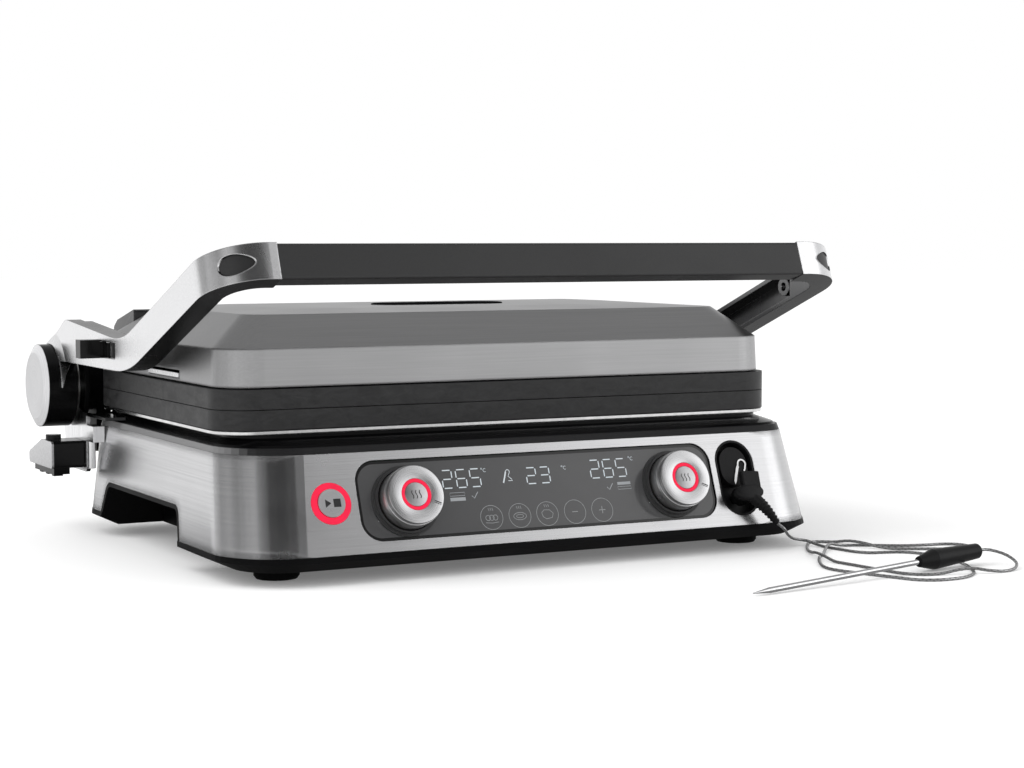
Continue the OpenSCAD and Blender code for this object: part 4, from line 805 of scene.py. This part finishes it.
material, tree, shader = startMaterial("dialFace", Metallic=1.0, Anisotropic=0.75)
place = addNode(tree, "UVMap", uv_map="surface")
along = addNode(tree, "Tangent", direction_type="UV_MAP", uv_map="surface")
spun = addNode(tree, "Mapping", {"Scale": (6.0, 5200.0, 1.0)})
lines = addNode(tree, "TexNoise", {"Scale": 1.0, "Detail": 2.0, "Roughness": 0.55}, noise_dimensions="2D")
edges = useGroup(tree, roundEdges, Radius=0.0003)
bump = addNode(tree, "Bump", {"Strength": 0.16, "Distance": 0.00003})
wire(tree,
    (place, "UV", spun, "Vector"), (spun, "Vector", lines, "Vector"), (edges, "Normal", bump, "Normal"),
    (lines, "Fac", bump, "Height"))
paint(tree, shader, toneRange(tree, lines.outputs["Fac"], 0, 1), (0.60, 0.60, 0.61), (0.74, 0.74, 0.75))
join(tree, toneRange(tree, lines.outputs["Fac"], 0.26, 0.34), shader.inputs["Roughness"])
wire(tree, (bump, "Normal", shader, "Normal"), (along, "Tangent", shader, "Tangent"))
dialFaceMetal = material

collarBlack = plasticFinish(
    "collarBlack", (0.010, 0.010, 0.011), (0.016, 0.016, 0.017), (0.04, 0.04, 0.042), 0.26, 0.36, 1500.0, 0.05,
    0.0002)

for side, sign in (("left", -1), ("right", 1)):
    foot = onPanel(sign * dial["across"], dial["up"], 0)
    body = side + "_dial"
    barrelMetal = turnedFinish(
        side + "BarrelMetal", (0.60, 0.60, 0.605), (0.70, 0.70, 0.705), 0.3, foot, tuple(panelOut), 2400.0,
        0.05, 0.0002)
    for part, finish, slot, stands in (
            ("collar", collarBlack, "gloss_black", None),
            ("barrel", barrelMetal, "knob_barrel", side + "_knob"),
            ("face", dialFaceMetal, "knob_face", side + "_knob_face"),
            ("light", redLight, "red_light", side + "_knob_light"),
            ("button", buttonSatin, "button_silver", side + "_knob_button")):
        shape = turnProfile(np.array(dial[part]) / 1000, dial["sides"], foot, panelRight, panelUp, panelOut)
        piece = makePiece(side + "Dial" + part.capitalize(), *shape)
        dress(finish, piece)
        weld(piece)
        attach(piece, body + "_button" if part == "button" else body)
        if stands:
            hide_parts(stands)
print("dials ready")

# Marks on the panel, the dials and the socket

marks = {
    "glassOut": -1.17, "thick": 0.05, "digitWidth": 7.0, "digitPitch": 10.0, "stroke": 0.72, "gap": 0.62,
    # figures, left, foot, height
    "readings": [("265", -70.5, 38.4, 11.7), ("23", -10.0, 38.1, 10.6), ("265", 38.0, 39.2, 12.1)],
    "degrees": [(-41.8, 47.6), (17.0, 46.2), (68.6, 49.8)],
    # left, foot, right, top
    "levels": [(-67, 29.8, -56.2, 32.0), (56.6, 33.6, 66.6, 35.5)],
    "ticks": [-51.5, 48.4],
    "rings": [-40.0, -19.6, 0.6, 21.1, 41.6], "ringUp": 17.6, "ringRadius": 7.9, "ringGap": 7.5,
    "scaleRadius": 23.0, "scaleStart": 210, "dotRadius": 0.3,
    "startPlace": (-149.4, 33.0, 0), "startOut": 1.31,
    "buttonOut": 16.82, "pointerOut": 17.01, "pointerThick": 0.07, "pointerTurn": -24,
    "pointer": [(12.6, 0.15, 17.4, 0.75), (12.6, -0.75, 17.4, -0.4)],
}


def digit(value, x, y, height):
    # a seven segment figure: each lit segment is a pointed bar of the figure's box
    w, h, g = marks["digitWidth"], height, marks["gap"]
    m = h / 2
    segments = {
        "a": (g, h, w - g, h), "g": (g, m, w - g, m), "d": (g, 0, w - g, 0),
        "f": (0, m + g, 0, h - g), "b": (w, m + g, w, h - g), "e": (0, g, 0, m - g), "c": (w, g, w, m - g)}
    lit = {"2": "abged", "6": "afgecd", "5": "afgcd", "3": "abgcd"}[value]
    return [bar(*segments[s], marks["stroke"]) + (x, y) for s in lit]


def degree(x, y):
    # the degree sign and the open round of the unit beside it
    return [
        ribbon(arc(x, y + 2.3, 0.45, 0, 345, 14), 0.2, True),
        ribbon(arc(x + 2.2, y + 1.2, 1.1, 50, 310, 18), 0.26)]


def box(left, foot, right, top):
    return np.array([(left, foot), (right, foot), (right, top), (left, top)])


def heatWaves(x, y, height, pitch, swing, steps, width):
    # three upright waves side by side: x + swing * sin(t), with t from 0 to 6.3 on the way up
    t = np.linspace(0, 6.3, steps)
    up = np.linspace(y, y + height, steps)
    return [ribbon(np.stack([x + shift + swing * np.sin(t), up], axis=1), width) for shift in (-pitch, 0,
        pitch)]


def oval(x, y, wide, high, end, steps, width):
    # a line along wide * cos(t), high * sin(t), with t from 0 to end
    t = np.linspace(0, end, steps)
    return ribbon(np.stack([x + wide * np.cos(t), y + high * np.sin(t)], axis=1), width, True)


figures = []
for text, x, y, height in marks["readings"]:
    for i, value in enumerate(text):
        figures += digit(value, x + i * marks["digitPitch"], y, height)
whiteBands = [b for x, y in marks["degrees"] for b in degree(x, y)]
# two level bars beside each reading: the lit one full, the other an outline
levels = [box(*bounds) for bounds in marks["levels"]]
softBands = [
    ribbon([(-66.8, 33.1), (-61.6, 33.1), (-56.4, 33.1), (-56.4, 35.2), (-66.8, 35.2)], 0.3, True),
    ribbon([(56.6, 30.6), (61.6, 30.6), (66.6, 30.6), (66.6, 32.4), (56.6, 32.4)], 0.3, True)]
# a tick beside them, in place of a word
softBands += [ribbon([(x, 32.6), (x + 1.6, 30.9), (x + 4.6, 34.9)], 0.55) for x in marks["ticks"]]
# the probe's sign: a needle and its loop
loopEnd = [(-23.4, 43.9), (-21.4, 42.2), (-20.6, 40.9), (-23.6, 40.9)]
whiteBands += [
    ribbon([(-27.4, 39.7), (-25.6, 44.4), (-24.7, 47.0)], 0.95),
    ribbon(np.concatenate([arc(-23.3, 46.9, 1.35, 175, -35, 14), loopEnd]), 0.42)]
readout = flatPiece("panelReadout", whiteBands, figures, marks["glassOut"], marks["thick"])
levelMarks = flatPiece("panelLevels", softBands, levels, marks["glassOut"], marks["thick"])

# fainter marks: touch rings with their signs, and the dials' scale
faint = [
    ribbon(arc(x, marks["ringUp"], marks["ringRadius"], 0, 360 - marks["ringGap"], 48), 0.32, True)
    for x in marks["rings"]]
for x in marks["rings"][:3]:
    faint += heatWaves(x, 22.0, 1.8, 1.4, 0.25, 9, 0.3)
faint += [ribbon(arc(-42.6 + 2.6 * i, 17.4, 1.7, 0, 345, 20), 0.35, True) for i in range(3)]
faint += [ribbon([(-44.6, 14.4), (-40, 13.9), (-35.4, 14.4)], 0.35)]
faint += [oval(-19.6, 17.2, 4.6, 2.4, 6.1, 32, 0.35), oval(-19.6, 17.2, 2.6, 1.1, 6.0, 24, 0.3)]
faint += [ribbon(
    [(-3.6, 18.4), (-1.6, 20.2), (2.4, 20.0), (4.8, 17.6), (3.6, 14.8), (-0.6, 14.2), (-2.8, 15.6)], 0.35,
    True)]
faint += [ribbon(line, 0.45) for line in (
    [(19.0, 17.6), (23.2, 17.6)], [(39.2, 17.6), (44.0, 17.6)], [(41.6, 15.2), (41.6, 20.0)])]
start = math.radians(marks["scaleStart"])
for sign in (-1, 1):
    dotX = sign * dial["across"] + marks["scaleRadius"] * math.cos(start)
    dotY = dial["up"] + marks["scaleRadius"] * math.sin(start)
    faint += [ribbon(arc(dotX, dotY, marks["dotRadius"], 0, 315, 8), 0.3, True)]
touchMarks = flatPiece("panelTouchMarks", faint, [], marks["glassOut"], marks["thick"])

whiteGlow = lightFinish("readoutGlow", (0.42, 0.45, 0.47), (0.50, 0.53, 0.55), (0.62, 0.74, 0.82), 0.42)
signWhite = lightFinish("signWhite", (0.74, 0.74, 0.74), (0.82, 0.82, 0.82), (0.8, 0.8, 0.8), 0.2)
softGlow = lightFinish("levelGlow", (0.24, 0.25, 0.26), (0.30, 0.31, 0.32), (0.36, 0.40, 0.43), 0.3)
faintPrint = lightFinish("touchPrint", (0.26, 0.27, 0.275), (0.33, 0.34, 0.345), (0.3, 0.31, 0.32), 0.12)
for piece, finish in ((readout, whiteGlow), (levelMarks, softGlow), (touchMarks, faintPrint)):
    dress(finish, piece)
    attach(piece, "base")

# dark signs on the buttons and a pointer on each dial's face
darkPrint = plasticFinish(
    "darkPrint", (0.012, 0.012, 0.013), (0.02, 0.02, 0.021), (0.03, 0.03, 0.03), 0.4, 0.5, 900.0, 0.05)
playSigns = flatPiece(
    "startSigns", [], [np.array([(-3.9, -2.7), (0.0, 0.0), (-3.9, 2.7)]), box(1.6, -2.6, 6.4, 2.6)],
    marks["startOut"], marks["thick"], marks["startPlace"])
dress(darkPrint, playSigns)
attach(playSigns, "start_cap")
for side, sign in (("left", -1), ("right", 1)):
    middleAt = (sign * dial["across"], dial["up"])
    heat = heatWaves(0, -2.6, 5.2, 2.6, 0.5, 13, 0.55)
    heatSign = flatPiece(side + "ButtonSign", heat, [], marks["buttonOut"], marks["thick"], (*middleAt, 0))
    pointer = flatPiece(
        side + "DialPointer", [], [box(*bounds) for bounds in marks["pointer"]],
        marks["pointerOut"], marks["pointerThick"], (*middleAt, marks["pointerTurn"]))
    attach(heatSign, side + "_dial_button")
    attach(pointer, side + "_dial")
    dress(darkPrint, heatSign, pointer)
print("marks ready")

# The probe's plug: bell, finger tab and ribbed relief, in place of the CAD's plain one

plug = {
    "across": 150.5, "up": 20.0, "wide": 0.28, "flat": -0.34, "roundTo": 1.5, "flatFrom": 4.5,
    "bell": [(0, -8.7), (3.1, -8.7), (3.15, -8.5), (3.15, -2.6), (6.2, -2.5), (6.4, -2.0), (6.4, 6.4), (8.0, 7.2),
             (8.5, 7.9), (8.7, 8.8), (8.7, 11.2), (8.4, 12.1), (7.6, 12.7), (6.0, 13.1), (3.4, 13.3), (0, 13.35)],
    "reliefOut": 8.0, "reliefEnd": (168.0, -11.0, 19.4), "bow": (0, -0.0016, 0.001),
    "thick": 0.0048, "thin": 0.0019,
    "ribs": 6, "ribHeight": 0.00055, "ribsFrom": 0.35, "ribsTo": 0.97,
    "tab": [(146.2, 23.0), (159.8, 22.4), (160.2, 34.0), (146.2, 34.8)], "tabOut": 8.0, "tabThick": 4.8,
}
plugMiddle = onPanel(plug["across"], plug["up"], 0)
bellPoints, bellFaces, _ = turnProfile(
    np.array(plug["bell"]) / 1000, 64, plugMiddle, panelRight, panelUp, panelOut)
# outside the socket the bell is an ellipse: each offset across and up is scaled by how far out it lies
offset = bellPoints - plugMiddle.ravel()
share = np.clip((offset @ panelOut * 1000 - plug["roundTo"]) / (plug["flatFrom"] - plug["roundTo"]), 0, 1)
for direction, growth in ((panelRight, plug["wide"]), (panelUp, plug["flat"])):
    bellPoints = bellPoints + (offset @ direction * growth * share)[:, None] * direction
# the relief runs on a slightly bowed line to the cable's start: a taper with square ribs on its middle part
reliefStart = onPanel(plug["across"] + 2, plug["up"] - 1, plug["reliefOut"]).ravel()
t = np.linspace(0, 1, 97)
reliefLine = reliefStart + (toRow(plug["reliefEnd"]) - reliefStart) * t[:, None]
reliefLine = reliefLine + np.array(plug["bow"]) * np.sin(np.pi * t)[:, None]
taper = plug["thick"] + (plug["thin"] - plug["thick"]) * t
crest = np.cos(2 * np.pi * plug["ribs"] * (t - plug["ribsFrom"]) / 0.6) > 0
ribs = plug["ribHeight"] * crest * (t > plug["ribsFrom"]) * (t < plug["ribsTo"])
reliefPoints, reliefFaces, _ = carryRound(reliefLine, taper + ribs, 32)
allPoints, allFaces = joinParts([(bellPoints, bellFaces), (reliefPoints, reliefFaces)])
plugPiece = weld(makePiece("probePlugBody", allPoints, allFaces))
dress(socketBlack, plugPiece)
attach(plugPiece, "base")
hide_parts("probe_plug")

tab = flatPiece("probePlugTab", [], [np.array(plug["tab"])], plug["tabOut"], plug["tabThick"])
rounding = tab.modifiers.new("rounding", "BEVEL")
rounding.width = 0.0009
rounding.segments = 3
dress(socketBlack, tab)
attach(tab, "base")

# the socket's sign: a needle with its point, and a hook
needleLine = [(149.0, 30.6), (150.6, 35.0), (152.4, 39.6), (153.3, 41.2)]
needlePoint = np.array([(148.3, 31.3), (148.5, 28.6), (150.0, 30.6)])
hook = [[(153.0, 40.0), (153.4, 42.0)], arc(156.6, 42.6, 3.0, 175, -30, 16), [(158.6, 39.2), (157.6, 37.6)]]
socketSign = flatPiece(
    "socketSign", [ribbon(needleLine, 1.9), ribbon(np.concatenate(hook), 1.1)], [needlePoint], -0.52, 0.05)
dress(signWhite, socketSign)
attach(socketSign, "base")

print("plug and probe ready")

# Floor, world and lamps

studio = {
    "floor": 0.90, "glowNear": 0.15, "glowFar": 0.28, "glowFrom": 0.3, "glowTo": 0.9,
    "floorNear": 0.40, "floorFar": 1.02, "horizon": 0.95, "zenith": 0.36, "fill": 0.86,
    "lamps": [  # name, place, aimed at, size x, size y, power
        ("leftBox", (-1.6, 0.3, 1.6), (0, 0, 0.1), 1.8, 1.8, 24),
        ("rightBox", (1.7, -1.5, 1.0), (0.1, -0.1, 0.08), 1.0, 1.3, 5)],
    # what shiny surfaces see besides the room: azimuth, elevation, full and faded out within degrees, gain
    "cards": [
        (-36, 30, 14, 25, 0.95),
        (-42, 6, 10, 22, 0.5),
        (-74, 26, 9, 20, -0.38),
        (-114, 37, 14, 26, -0.8),
        (-88, 44, 8, 13, -0.4),
        (172, 18, 12, 24, -0.38),
        (142, 6, 9, 16, -0.6)],
    # painted shade on the floor as shiny surfaces see it: a dark spot in front, and a shadow round the object
    "paintedShadeSpot": (0.05, -1.0, 0), "spotInner": 0.2, "spotOuter": 0.62,
    "underInner": 0.26, "underOuter": 0.8, "under": 0.12,
}

floorMesh = makePiece(
    "studioFloor", [(-9, -9, 0), (9, -9, 0), (9, 9, 0), (-9, 9, 0)], np.array([[0, 1, 2, 3]]), smooth=False)
floorPaint = bpy.data.materials.new("floorPaint")
floorPaint.use_nodes = True
tree = floorPaint.node_tree
tree.nodes.clear()
end = addNode(tree, "OutputMaterial")
sheet = addNode(tree, "BsdfDiffuse", {"Color": (studio["floor"],) * 3 + (1,)})
glow = addNode(tree, "Emission", {"Color": (1, 1, 1, 1)})
paths = addNode(tree, "LightPath")
seen = calc(tree, "MAXIMUM")
power = calc(tree, "MULTIPLY")
glowRange = mapRange(tree, studio["glowFrom"], studio["glowTo"], studio["glowNear"], studio["glowFar"])
both = addNode(tree, "AddShader")
# shiny surfaces see a bright floor with one painted dark spot of shade in front
mirrored = addNode(tree, "Emission", {"Color": (1, 1, 1, 1)})
spot = addNode(tree, "TexCoord")
away = vectorCalc(tree, "DISTANCE", {1: studio["paintedShadeSpot"]})
brighten = mapRange(tree, studio["spotInner"], studio["spotOuter"], studio["floorNear"], studio["floorFar"])
# and a painted shadow of the object on the floor round it, which only shiny surfaces see
fromMiddle = vectorCalc(tree, "LENGTH")
paintedShadowAround = mapRange(tree, studio["underInner"], studio["underOuter"], studio["under"], 1.0)
mirrorLevel = calc(tree, "MULTIPLY")
pick = addNode(tree, "MixShader")
wire(tree,
    (paths, "Is Camera Ray", seen, 0), (paths, "Is Transmission Ray", seen, 1), (seen, "Value", power, 0),
    (fromMiddle, "Value", glowRange, "Value"), (glowRange, "Result", power, 1),
    (power, "Value", glow, "Strength"), (sheet, "BSDF", both, 0), (glow, "Emission", both, 1),
    (spot, "Object", away, 0), (away, "Value", brighten, "Value"), (spot, "Object", fromMiddle, 0),
    (fromMiddle, "Value", paintedShadowAround, "Value"), (brighten, "Result", mirrorLevel, 0),
    (paintedShadowAround, "Result", mirrorLevel, 1), (mirrorLevel, "Value", mirrored, "Strength"),
    (paths, "Is Glossy Ray", pick, "Fac"), (both, "Shader", pick, 1), (mirrored, "Emission", pick, 2),
    (pick, "Shader", end, "Surface"))
floorMesh.data.materials.append(floorPaint)

world = bpy.data.worlds.new("studioWorld")
bpy.context.scene.world = world
world.use_nodes = True
tree = world.node_tree
tree.nodes.clear()
end = addNode(tree, "OutputWorld")
paths = addNode(tree, "LightPath")
direction = addNode(tree, "TexCoord")
split = addNode(tree, "SeparateXYZ")
height = mapRange(tree, 0.06, 0.62, studio["horizon"], studio["zenith"], interpolation_type="SMOOTHSTEP")
white = addNode(tree, "Background", {"Color": (1, 1, 1, 1), "Strength": 1.0})
room = addNode(tree, "Background", {"Color": (1, 1, 1, 1)})
soft = addNode(tree, "Background", {"Color": (1, 1, 1, 1), "Strength": studio["fill"]})
pickRoom = addNode(tree, "MixShader")
pickWhite = addNode(tree, "MixShader")
wire(tree, (direction, "Generated", split, "Vector"), (split, "Z", height, "Value"))
level = height.outputs["Result"]
for azimuth, elevation, full, faded, gain in studio["cards"]:
    a, e = math.radians(azimuth), math.radians(elevation)
    ray = (math.cos(a) * math.cos(e), math.sin(a) * math.cos(e), math.sin(e))
    toward = vectorCalc(tree, "DOT_PRODUCT", {1: ray})
    spot = mapRange(tree, math.cos(math.radians(faded)), math.cos(math.radians(full)), toHigh=gain,
                   interpolation_type="SMOOTHSTEP")
    total = calc(tree, "ADD")
    wire(tree, (direction, "Generated", toward, 0), (toward, "Value", spot, "Value"),
         (spot, "Result", total, 0))
    join(tree, level, total.inputs[1])
    level = total.outputs["Value"]
atLeast = calc(tree, "MAXIMUM", {1: 0.02})
join(tree, level, atLeast.inputs[0])
wire(tree,
    (atLeast, "Value", room, "Strength"), (paths, "Is Glossy Ray", pickRoom, "Fac"),
    (soft, "Background", pickRoom, 1), (room, "Background", pickRoom, 2),
    (paths, "Is Camera Ray", pickWhite, "Fac"), (pickRoom, "Shader", pickWhite, 1),
    (white, "Background", pickWhite, 2), (pickWhite, "Shader", end, "Surface"))

for name, spot, aim, sizeX, sizeY, watts in studio["lamps"]:
    lampData = bpy.data.lights.new(name, "AREA")
    lampData.shape = "RECTANGLE"
    lampData.size = sizeX
    lampData.size_y = sizeY
    lampData.energy = watts
    lamp = bpy.data.objects.new(name, lampData)
    lamp.location = spot
    lamp.rotation_euler = (Vector(aim) - Vector(spot)).to_track_quat("-Z", "Y").to_euler()
    lamp.visible_camera = False
    lamp.visible_glossy = False
    bpy.context.scene.collection.objects.link(lamp)
print("studio ready")

bpy.context.scene.view_settings.view_transform = "Standard"
